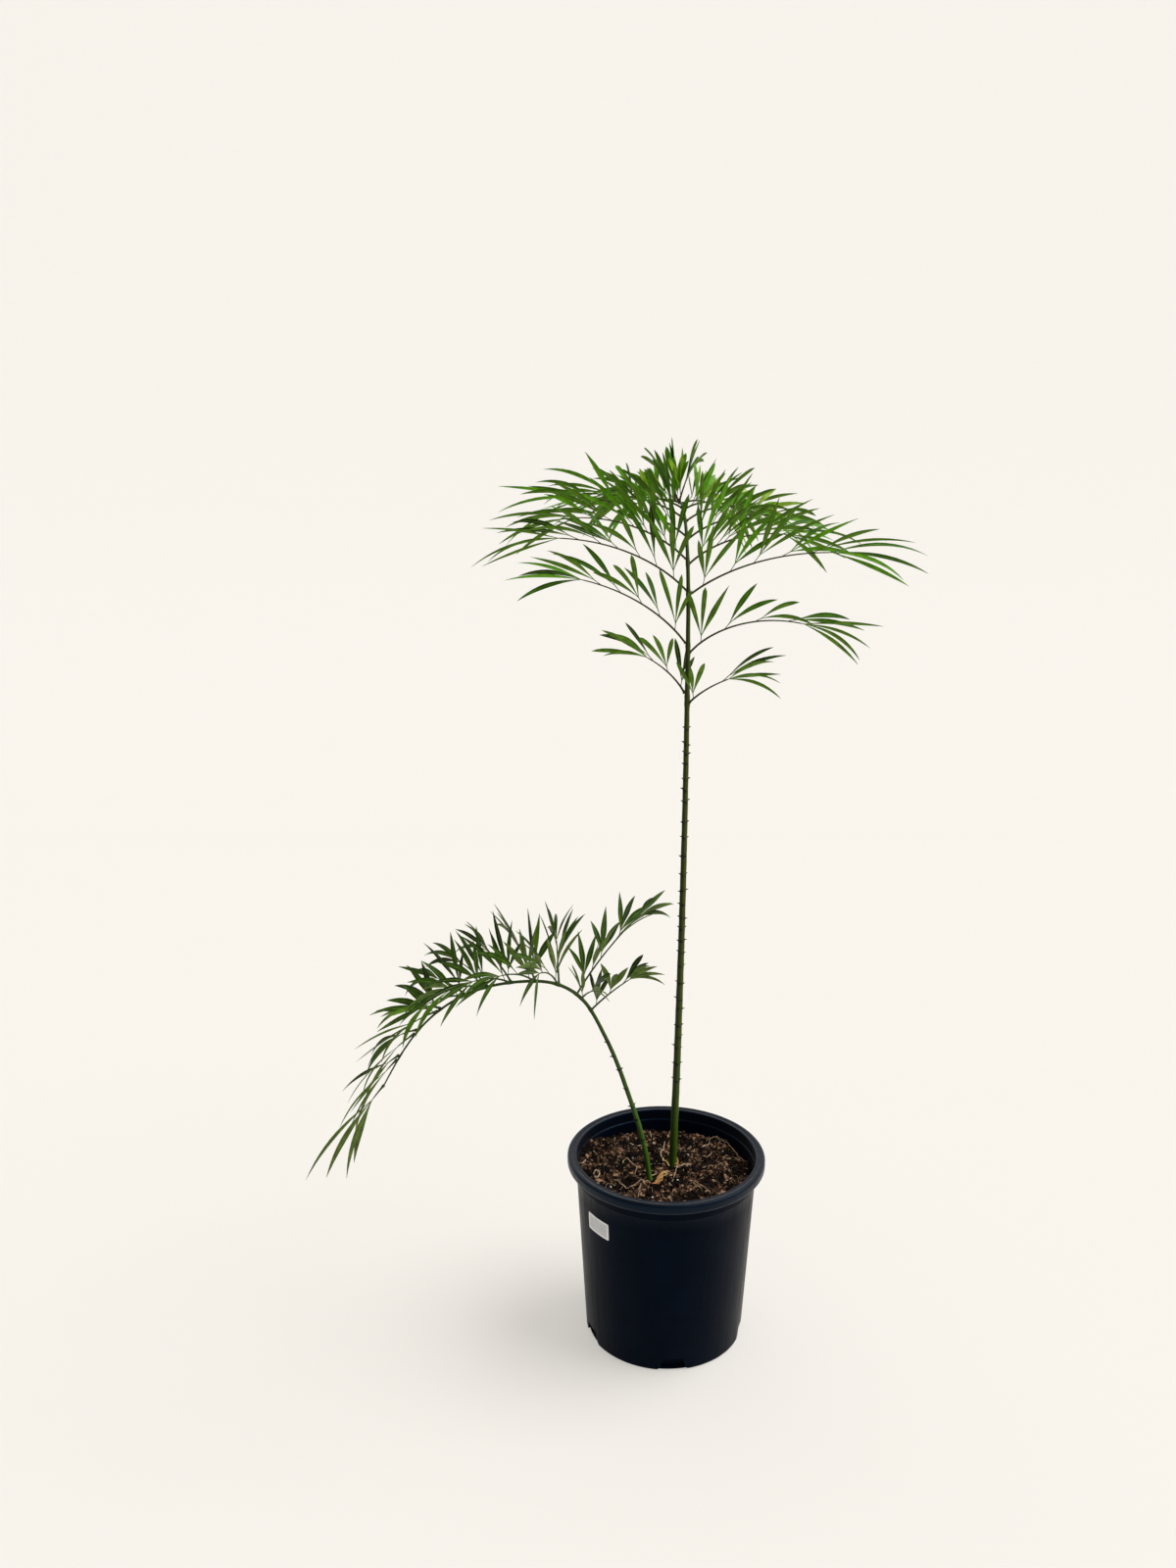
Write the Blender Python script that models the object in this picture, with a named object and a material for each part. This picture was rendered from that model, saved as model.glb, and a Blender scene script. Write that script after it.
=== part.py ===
"""Potted cycad: a young plant with two twice-divided fronds in a round nursery pot.

Metres, +Z up. The origin is the centre of the pot's flat underside, and the plant faces -Y.
One frond stands upright behind the pot's middle and nods away from -Y at its top. The other arches
over to -X. Each frond has a stalk, a pair of pinnae at every node, and a pinna at its end. A pinna
is a rib with pinnules on both sides in turn, each a short stalk that forks into narrow leaflets.
"""
import bpy
import numpy as np
from mathutils.bvhtree import BVHTree

UP = np.array([0.0, 0.0, 1.0])
CLEARANCE = 0.0003

# Pot: a turned shell with a rolled rim, a shoulder band and five drainage notches round its foot
POT_HEIGHT = 0.2447
RIM_RADIUS = 0.1250
RIM_DROP = 0.0127
RIM_ROLL = 0.0030
MOUTH_RADIUS = 0.1131
WALL_FOOT_RADIUS = 0.1005
WALL_TAPER = 0.0587
WALL_THICKNESS = 0.0022
BASE_THICKNESS = 0.0030
BAND_BOTTOM = 0.2165
BAND_STEP = 0.0013
POT_STEPS = 36
NOTCHES = 5
NOTCH_FIRST_ANGLE = np.radians(-86.5)
NOTCH_HEIGHT = 0.0170
NOTCH_WIDTH_BOTTOM = 0.041
NOTCH_WIDTH_TOP = 0.027
NOTCH_INNER_RADIUS = 0.090
NOTCH_CORNER = 0.004

# Potting mix: heaped a little round the stalks and against the pot's left side
MIX_HEIGHT = 0.2185
MIX_MOUND = 0.0045
MIX_LEFT_RISE = 0.0110
MIX_CORNER_RADIUS = 0.082
MIX_CORNER_HEIGHT = 0.022
MIX_RINGS = 6
MIX_LUMP = 0.0012
MIX_LUMP_WAVES = (190.0, 170.0)
PLANTING_DEPTH = 0.016

# The two stalks: foot, length, first lean, azimuth of the arch, sideways lean at foot and tip,
# and bends as (degrees, place of the middle, half length). Radii at the foot, at the first pinna
# and at the tip, and where each stalk is divided into its limbs
STALK_SIDES = 8
RING_SAMPLES = 41
BEND_WEIGHT = 0.16
TALL = {
    "foot": (0.0087, 0.0054, 0.2225), "length": 0.985, "lean": 0.0, "azimuth": 90.0,
    "sway": (1.6, -1.2), "bends": ((92.0, 0.800, 0.130),),
    "radii": (0.0050, 0.0030, 0.0010), "first_pinna": 0.60,
    "limbs": (("tall_stalk", 0.0, 0.735, 18), ("tall_rachis_end", 0.735, 0.985, 15)),
}
ARCHING = {
    "foot": (-0.0217, -0.0299, 0.2225), "length": 0.572, "lean": 8.0, "azimuth": 180.0,
    "sway": (0.0, 0.0),
    "bends": ((10.0, 0.060, 0.045), (8.0, 0.180, 0.050), (60.0, 0.278, 0.055), (66.0, 0.420, 0.140)),
    "radii": (0.0034, 0.0022, 0.0009), "first_pinna": 0.24,
    "limbs": (("arching_stalk", 0.0, 0.255, 11), ("arching_rachis_top", 0.255, 0.410, 13),
              ("arching_rachis_end", 0.410, 0.572, 11)),
}

# Pinnae measured one by one: name, place along the stalk, side, angle from the stalk, lift towards
# the blade's upper face, downward turn of the rib, rib length, pinnules, leaflet length at the
# rib's foot and at its tip, seed
TALL_PINNAE = (
    ("tall_pinna_right_1", 0.5995, 1, 46, 38, 21, 0.060, 2, 0.052, 0.078, 83),
    ("tall_pinna_left_1", 0.608, -1, 30, 14, 30, 0.060, 3, 0.050, 0.066, 68),
    ("tall_pinna_right_2", 0.6585, 1, 42, 14, 58, 0.136, 4, 0.060, 0.095, 33),
    ("tall_pinna_left_2", 0.668, -1, 36, 4, 40, 0.140, 5, 0.060, 0.088, 28),
    ("tall_pinna_right_3", 0.726, 1, 54, 14, 38, 0.165, 5, 0.072, 0.105, 36),
    ("tall_pinna_left_3", 0.730, -1, 45, 16, 44, 0.158, 6, 0.068, 0.098, 62),
    ("tall_pinna_right_4", 0.762, 1, 48, 6, 46, 0.122, 5, 0.070, 0.100, 27),
    ("tall_pinna_left_4", 0.767, -1, 44, 12, 46, 0.140, 5, 0.068, 0.105, 11),
    ("tall_pinna_right_9", 0.922, 1, 54, 72, 14, 0.044, 3, 0.064, 0.062, 41),
    ("tall_pinna_left_9", 0.927, -1, 50, 70, 14, 0.044, 3, 0.062, 0.064, 54),
    ("tall_pinna_end", 0.985, 1, 64, 90, 8, 0.020, 3, 0.060, 0.062, 91),
)
ARCHING_PINNAE = (
    ("arching_pinna_low", 0.243, -1, 68, 66, 10, 0.072, 3, 0.045, 0.056, 39),
    ("arching_pinna_short", 0.262, -1, 72, 40, 15, 0.050, 2, 0.045, 0.055, 11),
    ("arching_pinna_high", 0.270, 1, 85, 60, 22, 0.125, 6, 0.062, 0.064, 77),
    ("arching_pinna_end", 0.572, 1, 12, 90, 4, 0.022, 0, 0.105, 0.124, 55),
)
# Pinnae in even runs: first name, first number, how many, side, the values above without the name
# and side for both ends of the run, and the seeds
TALL_RUNS = (
    ("tall_pinna_right", 5, 4, 1, (0.795, 48, 6, 42, 0.125, 5, 0.070, 0.095),
     (0.888, 40, 14, 34, 0.074, 3, 0.066, 0.080), (33, 93, 83, 73)),
    ("tall_pinna_left", 5, 4, -1, (0.800, 50, 16, 34, 0.130, 5, 0.070, 0.112),
     (0.893, 40, 18, 30, 0.074, 3, 0.066, 0.080), (104, 12, 59, 7)),
)
ARCHING_RUNS = (
    ("arching_pinna_near", 1, 5, -1, (0.297, 64, 50, 37, 0.066, 3, 0.074, 0.068),
     (0.413, 56, 46, 26, 0.046, 2, 0.070, 0.070), (87, 105, 36, 90, 103)),
    ("arching_pinna_near", 6, 3, -1, (0.449, 44, 42, 14, 0.030, 1, 0.070, 0.076),
     (0.529, 34, 38, 8, 0.016, 0, 0.070, 0.090), (65, 106, 87)),
    ("arching_pinna_far", 1, 5, 1, (0.295, 72, 48, 22, 0.058, 3, 0.074, 0.070),
     (0.411, 60, 48, 18, 0.042, 2, 0.070, 0.070), (107, 71, 94, 8, 68)),
    ("arching_pinna_far", 6, 3, 1, (0.445, 46, 50, 14, 0.030, 1, 0.070, 0.076),
     (0.524, 28, 51, 8, 0.016, 0, 0.070, 0.092), (85, 48, 11)),
)

# The rule by which a pinna grows. Pairs of values are for the rib's foot and its tip
PINNULE_PLACES = (0.11, 0.86)
PINNULE_LIFT = (75.0, 55.0)
PINNULE_SPREAD = (50.0, 18.0)
PINNULE_STALK = 0.13
LEAFLET_FAN = 20.0
END_FAN = 12.0
END_LEAFLETS = 4
SHORT_END_LEAFLETS = 3
SHORT_RIB = 0.052
LONG_FAN = 0.100
THREE_LEAFLET_SHARE = 0.70
LEAFLET_WIDTH = 0.0072
LEAFLET_WIDTH_AT = 0.090
LEAFLET_TURN = (0.15, 0.85)
LEAFLET_POINTS = 21
LEAFLET_FOOT = 0.0011
LEAFLET_DEPTH_SHARE = 0.011
LEAFLET_LEAST_DEPTH = 0.0008
LONG_LEAFLET = 0.072
LONG_STATIONS = (0.35, 0.70)
SHORT_STATIONS = (0.45,)
LEAFLET_TRIES = 4
LEAFLET_SPACE = 0.0008
RIB_POINTS = 13
LONG_RIB = 0.090
RIB_SKIP_LONG = 2
RIB_SKIP_SHORT = 3
RIB_RADII = (0.0014, 0.0009)
PINNULE_STALK_HALF_WIDTH = 0.0008
PINNULE_SINK = 0.0006
END_SINK = 0.0040
END_STALK = 0.0020


# ---- Curves ---------------------------------------------------------------------------------


def unit(vector):
    """The vector, or each row of an array of vectors, at length 1."""
    return vector / np.linalg.norm(vector, axis=-1, keepdims=True)


def between(ends, share):
    """The value a share of the way from the first end to the second."""
    return ends[0] + (ends[1] - ends[0]) * share


def ease(share):
    """A smooth step from 0 to 1."""
    share = np.clip(share, 0.0, 1.0)
    return share * share * (3.0 - 2.0 * share)


def walk(start, along, length):
    """Points reached from start by going along the given directions in equal steps."""
    steps = 0.5 * (along[1:] + along[:-1]) * length / (len(along) - 1)
    return start + np.vstack([np.zeros(3), np.cumsum(steps, axis=0)])


def stalk_curve(stalk, count=161):
    """Places, points and directions along a stalk, and the level direction across its blade."""
    places = np.linspace(0.0, stalk["length"], count)
    tilt = np.full(count, np.radians(stalk["lean"]))
    for amount, middle, half in stalk["bends"]:
        tilt += np.radians(amount) * ease((places - middle + half) / (2.0 * half))
    sway = np.radians(between(stalk["sway"], places / stalk["length"]))
    azimuth = np.radians(stalk["azimuth"])
    outward = np.array([np.cos(azimuth), np.sin(azimuth), 0.0])
    across = np.cross(outward, UP)
    along = np.outer(np.sin(tilt), outward) + np.outer(np.cos(tilt), UP) + np.outer(np.tan(sway), across)
    along = unit(along)
    return {"places": places, "points": walk(np.array(stalk["foot"]), along, stalk["length"]),
            "along": along, "across": across, "stalk": stalk}


def on_stalk(curve, key, place):
    """The curve's points or directions, read at one place along it."""
    return np.array([np.interp(place, curve["places"], curve[key][:, axis]) for axis in range(3)])


def limb_places(curve, start, end, rings):
    """Places from start to end for a limb's rings, closer together where the stalk bends."""
    places = np.linspace(start, end, RING_SAMPLES)
    along = unit(np.array([on_stalk(curve, "along", place) for place in places]))
    bent = np.linalg.norm(np.diff(along, axis=0), axis=1)
    travel = np.concatenate(([0.0], np.cumsum(np.diff(places) + BEND_WEIGHT * bent)))
    return np.interp(np.linspace(0.0, travel[-1], rings), travel, places)


def stalk_radius(stalk, place):
    """The stalk's radius, which tapers to its first pinna and faster from there to its tip."""
    return np.interp(place, (0.0, stalk["first_pinna"], stalk["length"]), stalk["radii"])


def drooping(root, heading, turn, length, count, power):
    """A stem from root along heading that turns downwards by the given angle over its length."""
    level = unit(heading * np.array([1.0, 1.0, 0.0]))
    pitch = np.arcsin(heading[2]) - turn * np.linspace(0.0, 1.0, count) ** power
    along = np.outer(np.cos(pitch), level) + np.outer(np.sin(pitch), UP)
    return walk(root, along, length), along


# ---- How a pinna grows ----------------------------------------------------------------------


def pinna_rows(rows, runs):
    """All the pinnae of one frond, with those of each run worked out between its two ends."""
    found = list(rows)
    for name, number, count, side, first, last, seeds in runs:
        for index in range(count):
            place, angle, lift, turn, length, pinnules, short, long = (
                between(pair, index / (count - 1)) for pair in zip(first, last))
            found.append((f"{name}_{number + index}", place, side, angle, lift, turn, length,
                          round(pinnules), short, long, seeds[index]))
    return found


def grow_rib(curve, row):
    """The rib of one pinna, which starts just clear of its stalk."""
    name, place, side, angle, lift, turn, length, pinnules, short, long, seed = row
    along = unit(on_stalk(curve, "along", place))
    across = unit(curve["across"] - (curve["across"] @ along) * along)
    upper = np.cross(across, along)
    angle, lift = np.radians(angle), np.radians(lift)
    sideways = np.cos(lift) * side * across + np.sin(lift) * upper
    heading = np.cos(angle) * along + np.sin(angle) * sideways
    radius = stalk_radius(curve["stalk"], place)
    if place < curve["stalk"]["length"]:
        gap = (radius + CLEARANCE + RIB_RADII[0] * np.cos(angle)) / np.sin(angle)
    else:
        gap = CLEARANCE + RIB_RADII[0] * np.sin(angle)
    root = on_stalk(curve, "points", place) + heading * gap
    points, directions = drooping(root, heading, np.radians(turn), length, RIB_POINTS, 0.8)
    return {"name": name, "points": points, "along": directions, "length": length,
            "pinnules": pinnules, "leaflet": (short, long), "seed": seed}


def grow_pinnule(rib, index):
    """The stalk of one pinnule, the last of which is the fan of leaflets at the rib's tip."""
    last = index == rib["pinnules"]
    random = np.random.default_rng((rib["seed"], index))
    first_side = 1.0 if np.random.default_rng(rib["seed"]).random() < 0.5 else -1.0
    share = between(PINNULE_PLACES, index / max(rib["pinnules"] - 1, 1)) + random.uniform(-0.02, 0.02)
    share = 1.0 if last else share
    place = share * (RIB_POINTS - 1)
    start = min(int(place), RIB_POINTS - 2)
    root = between(rib["points"][start:start + 2], place - start)
    along = rib["along"][start + 1]
    level = unit(np.cross(along, UP))
    lift = np.radians(between(PINNULE_LIFT, share) + random.uniform(-12.0, 12.0))
    hand = first_side * (-1) ** index
    across = np.cos(lift) * level * hand + np.sin(lift) * np.cross(level, along)
    spread = 0.0 if last else np.radians(between(PINNULE_SPREAD, share) + random.uniform(-6.0, 6.0))
    three = share < 0.8 and random.random() < THREE_LEAFLET_SHARE
    size = between(rib["leaflet"], share)
    direction = np.cos(spread) * along + np.sin(spread) * across
    fork = root + direction * (END_STALK if last else size * PINNULE_STALK)
    root = root - direction * (END_SINK if last else PINNULE_SINK)
    face = np.cross(along, across)
    end_count = SHORT_END_LEAFLETS if rib["length"] < SHORT_RIB and size < LONG_FAN else END_LEAFLETS
    return {"last": last, "root": root, "fork": fork, "along": along, "across": across,
            "direction": direction, "face": face if face[2] > 0.0 else -face, "spread": spread,
            "count": end_count if last else 3 if three else 2, "size": size}


def grow_leaflet(rib, pinnule, index, number, attempt):
    """Root, direction, upper face, length, width and downward turn of one leaflet."""
    random = np.random.default_rng((rib["seed"], index, number, attempt))
    count = pinnule["count"]
    fan = np.radians(END_FAN if pinnule["last"] else LEAFLET_FAN)
    angle = pinnule["spread"] + (number - (count - 1) / 2.0) * fan
    angle += np.radians(random.uniform(-3.0, 3.0))
    lift = np.radians(random.uniform(-8.0, 8.0)) * (1.0 + 2.0 * attempt)
    direction = unit(np.cos(angle) * pinnule["along"] + np.sin(angle) * pinnule["across"]
                     + np.tan(lift) * pinnule["face"])
    rank = 0.0 if pinnule["last"] else number / (count - 1)
    length = pinnule["size"] * random.uniform(0.8, 1.12) * (1.0 - 0.22 * rank) * 0.9 ** attempt
    turn = random.uniform(*LEAFLET_TURN) * max(np.hypot(direction[0], direction[1]), 0.2)
    width = LEAFLET_WIDTH * (length / LEAFLET_WIDTH_AT) ** 0.5
    return pinnule["fork"], direction, pinnule["face"], length, width, turn


def leaflet_width(share):
    """Half of the outline of a leaflet of width 2: narrow at its root, with a long sharp tip."""
    rise = 0.14 + 0.86 * np.sin(0.5 * np.pi * np.clip(share / 0.5, 0.0, 1.0)) ** 1.4
    fall = np.clip((1.0 - share) / 0.5, 0.0, 1.0) ** 0.8
    return np.minimum(rise, fall)


# ---- Plain meshes of the rule's shapes ------------------------------------------------------


def prism(points, along, radii, sides=3):
    """Points and faces of a closed limb with flat ends, round the given line."""
    rings = []
    normal = unit(np.cross(along[0], UP if abs(along[0][2]) < 0.9 else np.array([1.0, 0.0, 0.0])))
    for point, direction, radius in zip(points, along, radii):
        normal = unit(normal - (normal @ direction) * direction)
        other = np.cross(direction, normal)
        turns = np.arange(sides) * 2.0 * np.pi / sides
        rings.append(point + radius * (np.outer(np.cos(turns), normal) + np.outer(np.sin(turns), other)))
    faces = [tuple(reversed(range(sides)))]
    for ring in range(len(points) - 1):
        for side in range(sides):
            low, next_low = ring * sides + side, ring * sides + (side + 1) % sides
            faces.append((low, next_low, next_low + sides, low + sides))
    faces.append(tuple(range((len(points) - 1) * sides, len(points) * sides)))
    return np.vstack(rings), faces


def leaflet_rings(leaflet, extra=0.0):
    """Left, right and keel points at each station of a leaflet, then its tip."""
    fork, direction, face, length, width, turn = leaflet
    line, along = drooping(fork, direction, turn, length, LEAFLET_POINTS, 1.3)
    depth = max(LEAFLET_DEPTH_SHARE * length, LEAFLET_LEAST_DEPTH) + extra
    rings = []
    for station in LONG_STATIONS if length > LONG_LEAFLET else SHORT_STATIONS:
        at = round(station * (LEAFLET_POINTS - 1))
        normal = unit(face - (face @ along[at]) * along[at])
        side = np.cross(normal, along[at]) * (leaflet_width(station) * width / 2.0 + extra)
        rings += [line[at] - side, line[at] + side, line[at] - normal * depth]
    return rings + [line[-1] + along[-1] * extra]


def leaflet_faces(root, first, last):
    """Faces from the root's three points, over the rings numbered from first, to the tip at last."""
    faces = []
    ring = root
    for start in range(first, last, 3):
        after = (start, start + 1, start + 2)
        for one, two in ((0, 1), (1, 2), (2, 0)):
            faces += [(ring[one], after[one], after[two]), (ring[one], after[two], ring[two])]
        ring = after
    return faces + [(ring[one], last, ring[two]) for one, two in ((0, 1), (1, 2), (2, 0))]


def leaflet_space(pinnule, leaflet):
    """Points and faces of one leaflet, larger on all sides by the space that it needs."""
    face = pinnule["face"]
    side = np.cross(face, leaflet[1]) * LEAFLET_SPACE
    root = leaflet[0]
    points = [root - side, root + side, root - face * LEAFLET_SPACE] + leaflet_rings(leaflet, LEAFLET_SPACE)
    return np.array(points), [(0, 1, 2)] + leaflet_faces((0, 1, 2), 3, len(points) - 1)


def pinnule_solid(pinnule):
    """Points and faces of a pinnule: its stalk widens into one end that all its leaflets share."""
    direction, face, fork = pinnule["direction"], pinnule["face"], pinnule["fork"]
    side = np.cross(face, direction)
    leaflets = sorted(pinnule["leaflets"], key=lambda leaflet: leaflet[1] @ side)
    count = len(leaflets)
    half = PINNULE_STALK_HALF_WIDTH
    root = pinnule["root"]
    points = [root - side * half, root + side * half, root - face * half * 1.2]
    points += [fork + side * (number - count / 2.0) * LEAFLET_FOOT for number in range(count + 1)]
    points += [fork + side * (number + 0.5 - count / 2.0) * LEAFLET_FOOT - face * half
               for number in range(count)]
    tops = list(range(3, 4 + count))
    keels = list(range(4 + count, 4 + 2 * count))
    faces = [(0, 1, 2), (0, *tops, 1), (1, tops[-1], keels[-1]), (1, keels[-1], 2), (0, 2, keels[0]),
             (0, keels[0], tops[0])]
    if count > 1:
        faces.append((2, *reversed(keels)))
    for number, leaflet in enumerate(leaflets):
        if number:
            faces.append((tops[number], keels[number - 1], keels[number]))
        first = len(points)
        points += leaflet_rings(leaflet)
        foot = (tops[number], tops[number + 1], keels[number])
        faces += leaflet_faces(foot, first, len(points) - 1)
    return np.array(points), faces


# ---- Space: no twig or leaflet may touch another --------------------------------------------


def claim(placed, family, solid):
    """Add a solid to what is placed."""
    points, faces = solid
    placed.append((points.min(axis=0), points.max(axis=0), BVHTree.FromPolygons(points.tolist(), faces),
                   family))


def is_free(placed, solid, ignored):
    """Whether a solid touches nothing that is placed, apart from the families ignored."""
    points, faces = solid
    low, high = points.min(axis=0), points.max(axis=0)
    near = [entry for entry in placed if entry[3] not in ignored
            and np.all(entry[0] <= high) and np.all(entry[1] >= low)]
    if not near:
        return True
    tree = BVHTree.FromPolygons(points.tolist(), faces)
    return not any(tree.overlap(entry[2]) for entry in near)


def grow_leaflets(rib, pinnule, index, placed):
    """The leaflets of one pinnule. One that touches something is tried again, then left out."""
    ignored = {(rib["name"], "rib")} if pinnule["last"] else set()
    grown = []
    for number in range(pinnule["count"]):
        for attempt in range(LEAFLET_TRIES):
            leaflet = grow_leaflet(rib, pinnule, index, number, attempt)
            if is_free(placed, leaflet_space(pinnule, leaflet), ignored):
                grown.append(leaflet)
                break
    return grown


def grow_pinnules(rib, placed):
    """Every pinnule of one pinna whose stalk, and at least one leaflet, has room."""
    name = rib["name"]
    pinnules = []
    for index in (rib["pinnules"], *range(rib["pinnules"])):
        pinnule = grow_pinnule(rib, index)
        ends = np.array([pinnule["root"], pinnule["fork"]])
        wide = prism(ends, [pinnule["direction"]] * 2, (PINNULE_STALK_HALF_WIDTH + LEAFLET_SPACE,) * 2)
        if not is_free(placed, wide, {(name, "rib")}):
            continue
        pinnule["leaflets"] = grow_leaflets(rib, pinnule, index, placed)
        if pinnule["leaflets"] and is_free(placed, pinnule_solid(pinnule), {(name, "rib")}):
            claim(placed, (name, index), pinnule_solid(pinnule))
            pinnules.append(pinnule)
    return pinnules


def grow_plant():
    """Limbs, and ribs with their pinnules, of both fronds."""
    placed, limbs, ribs = [], [], []
    for stalk, rows, runs in ((TALL, TALL_PINNAE, TALL_RUNS), (ARCHING, ARCHING_PINNAE, ARCHING_RUNS)):
        curve = stalk_curve(stalk)
        for name, start, end, rings in stalk["limbs"]:
            cut = CLEARANCE / 2.0
            places = limb_places(curve, start + (cut if start else 0.0),
                                 end - (cut if end < stalk["length"] else 0.0), rings)
            points = np.array([on_stalk(curve, "points", place) for place in places])
            along = unit(np.array([on_stalk(curve, "along", place) for place in places]))
            if start == 0.0:
                points[0] -= along[0] * PLANTING_DEPTH
            limbs.append((name, prism(points, along, stalk_radius(stalk, places), STALK_SIDES)))
            claim(placed, name, limbs[-1][1])
        for row in pinna_rows(rows, runs):
            rib = grow_rib(curve, row)
            radii = np.linspace(*RIB_RADII, RIB_POINTS)
            skip = RIB_SKIP_LONG if rib["length"] > LONG_RIB else RIB_SKIP_SHORT
            rib["solid"] = prism(rib["points"][::skip], rib["along"][::skip], radii[::skip])
            claim(placed, (rib["name"], "rib"), rib["solid"])
            ribs.append(rib)
    for rib in ribs:
        rib["grown"] = grow_pinnules(rib, placed)
    return limbs, ribs


# ---- Blender objects ------------------------------------------------------------------------


def clear_scene():
    """Remove every object."""
    for old in list(bpy.data.objects):
        bpy.data.objects.remove(old, do_unlink=True)


def make_material(name, colour, roughness):
    """A plain Principled material."""
    material = bpy.data.materials.new(name)
    material.use_nodes = True
    shader = material.node_tree.nodes["Principled BSDF"]
    shader.inputs["Base Color"].default_value = (*colour, 1.0)
    shader.inputs["Roughness"].default_value = roughness
    return material


def add_object(name, solid, material, collection=None):
    """An object from points and faces."""
    points, faces = solid
    mesh = bpy.data.meshes.new(name)
    mesh.from_pydata([tuple(point) for point in points], [], faces)
    mesh.update()
    if material:
        mesh.materials.append(material)
    made = bpy.data.objects.new(name, mesh)
    (collection or bpy.context.scene.collection).objects.link(made)
    return made


def apply_modifiers(made):
    """Replace an object's mesh by its evaluated one."""
    depsgraph = bpy.context.evaluated_depsgraph_get()
    mesh = bpy.data.meshes.new_from_object(made.evaluated_get(depsgraph))
    made.modifiers.clear()
    made.data = mesh


def join_all(body, operands, operation):
    """Apply one Boolean of a body with the objects of a collection, then remove them."""
    boolean = body.modifiers.new("join", "BOOLEAN")
    boolean.operand_type = "COLLECTION"
    boolean.collection = operands
    boolean.operation = operation
    boolean.solver = "EXACT"
    apply_modifiers(body)
    for operand in list(operands.objects):
        bpy.data.objects.remove(operand, do_unlink=True)
    bpy.data.collections.remove(operands)


def new_collection(name):
    """An empty collection in the scene."""
    collection = bpy.data.collections.new(name)
    bpy.context.scene.collection.children.link(collection)
    return collection


def add_pinna(rib, material):
    """One pinna: its rib and its pinnules, joined into one solid."""
    name = rib["name"]
    body = add_object(name, rib["solid"], material)
    parts = new_collection(f"{name}_parts")
    for pinnule in rib["grown"]:
        add_object(f"{name}_pinnule", pinnule_solid(pinnule), material, parts)
    join_all(body, parts, "UNION")
    return body


def turned(name, outline, steps, material):
    """A solid turned round the Z axis. The outline is (radius, height) and starts and ends at radius 0."""
    turns = np.arange(steps) * 2.0 * np.pi / steps
    ring = np.stack([np.cos(turns), np.sin(turns)], axis=1)
    points = [(0.0, 0.0, outline[0][1])]
    for radius, height in outline[1:-1]:
        points += [(radius * x, radius * y, height) for x, y in ring]
    points.append((0.0, 0.0, outline[-1][1]))
    rings = len(outline) - 2
    faces = []
    for step in range(steps):
        after = (step + 1) % steps
        faces.append((0, 1 + after, 1 + step))
        for level in range(rings - 1):
            low, high = 1 + level * steps, 1 + (level + 1) * steps
            faces.append((low + step, low + after, high + after, high + step))
        top = 1 + (rings - 1) * steps
        faces.append((top + step, top + after, len(points) - 1))
    return add_object(name, (points, faces), material)


def wall_radius(height):
    """The pot wall's outer radius."""
    return WALL_FOOT_RADIUS + WALL_TAPER * height


def pot_outline():
    """The pot's section from the middle of its underside, out, over the rim and down inside."""
    band = wall_radius(BAND_BOTTOM) + BAND_STEP
    lip = POT_HEIGHT - RIM_DROP
    inner = wall_radius(BAND_BOTTOM) - WALL_THICKNESS
    foot_inner = wall_radius(BASE_THICKNESS) - WALL_THICKNESS
    outline = [(0.0, 0.0), (WALL_FOOT_RADIUS - 0.0025, 0.0), (WALL_FOOT_RADIUS - 0.0006, 0.0008),
               (wall_radius(0.0035), 0.0035), (wall_radius(BAND_BOTTOM), BAND_BOTTOM),
               (band, BAND_BOTTOM + 0.0015), (band + 0.0004, lip), (RIM_RADIUS - RIM_ROLL, lip)]
    for turn in np.radians((-60.0, -20.0, 20.0, 60.0)):
        middle = lip + RIM_ROLL if turn < 0.0 else POT_HEIGHT - RIM_ROLL
        outline.append((RIM_RADIUS - RIM_ROLL + RIM_ROLL * np.cos(turn), middle + RIM_ROLL * np.sin(turn)))
    outline += [(RIM_RADIUS - RIM_ROLL, POT_HEIGHT), (MOUTH_RADIUS + 0.0010, POT_HEIGHT),
                (MOUTH_RADIUS, POT_HEIGHT - 0.0010), (MOUTH_RADIUS - 0.0002, BAND_BOTTOM + 0.0145),
                (inner + 0.0003, BAND_BOTTOM + 0.0120), (inner, BAND_BOTTOM),
                (foot_inner, BASE_THICKNESS + 0.0020), (foot_inner - 0.0020, BASE_THICKNESS),
                (0.0, BASE_THICKNESS)]
    return outline


def add_notch_cutter(index, collection):
    """One drainage notch: a wedge that narrows upwards, with its top corners cut off."""
    half_low, half_top = NOTCH_WIDTH_BOTTOM / 2.0, NOTCH_WIDTH_TOP / 2.0
    shoulder, top = NOTCH_HEIGHT - NOTCH_CORNER, half_top - NOTCH_CORNER
    section = [(-half_low, -0.001), (half_low, -0.001), (half_top, shoulder), (top, NOTCH_HEIGHT),
               (-top, NOTCH_HEIGHT), (-half_top, shoulder)]
    near, far = NOTCH_INNER_RADIUS, WALL_FOOT_RADIUS + 0.010
    points = [(near, side, height) for side, height in section]
    points += [(far, side, height) for side, height in section]
    count = len(section)
    faces = [tuple(reversed(range(count))), tuple(range(count, 2 * count))]
    faces += [(low, (low + 1) % count, count + (low + 1) % count, count + low) for low in range(count)]
    cutter = add_object(f"notch_cutter_{index}", (points, faces), None, collection)
    cutter.rotation_euler.z = NOTCH_FIRST_ANGLE + index * 2.0 * np.pi / NOTCHES
    cutter.hide_render = True
    cutter.display_type = "WIRE"
    return cutter


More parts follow.
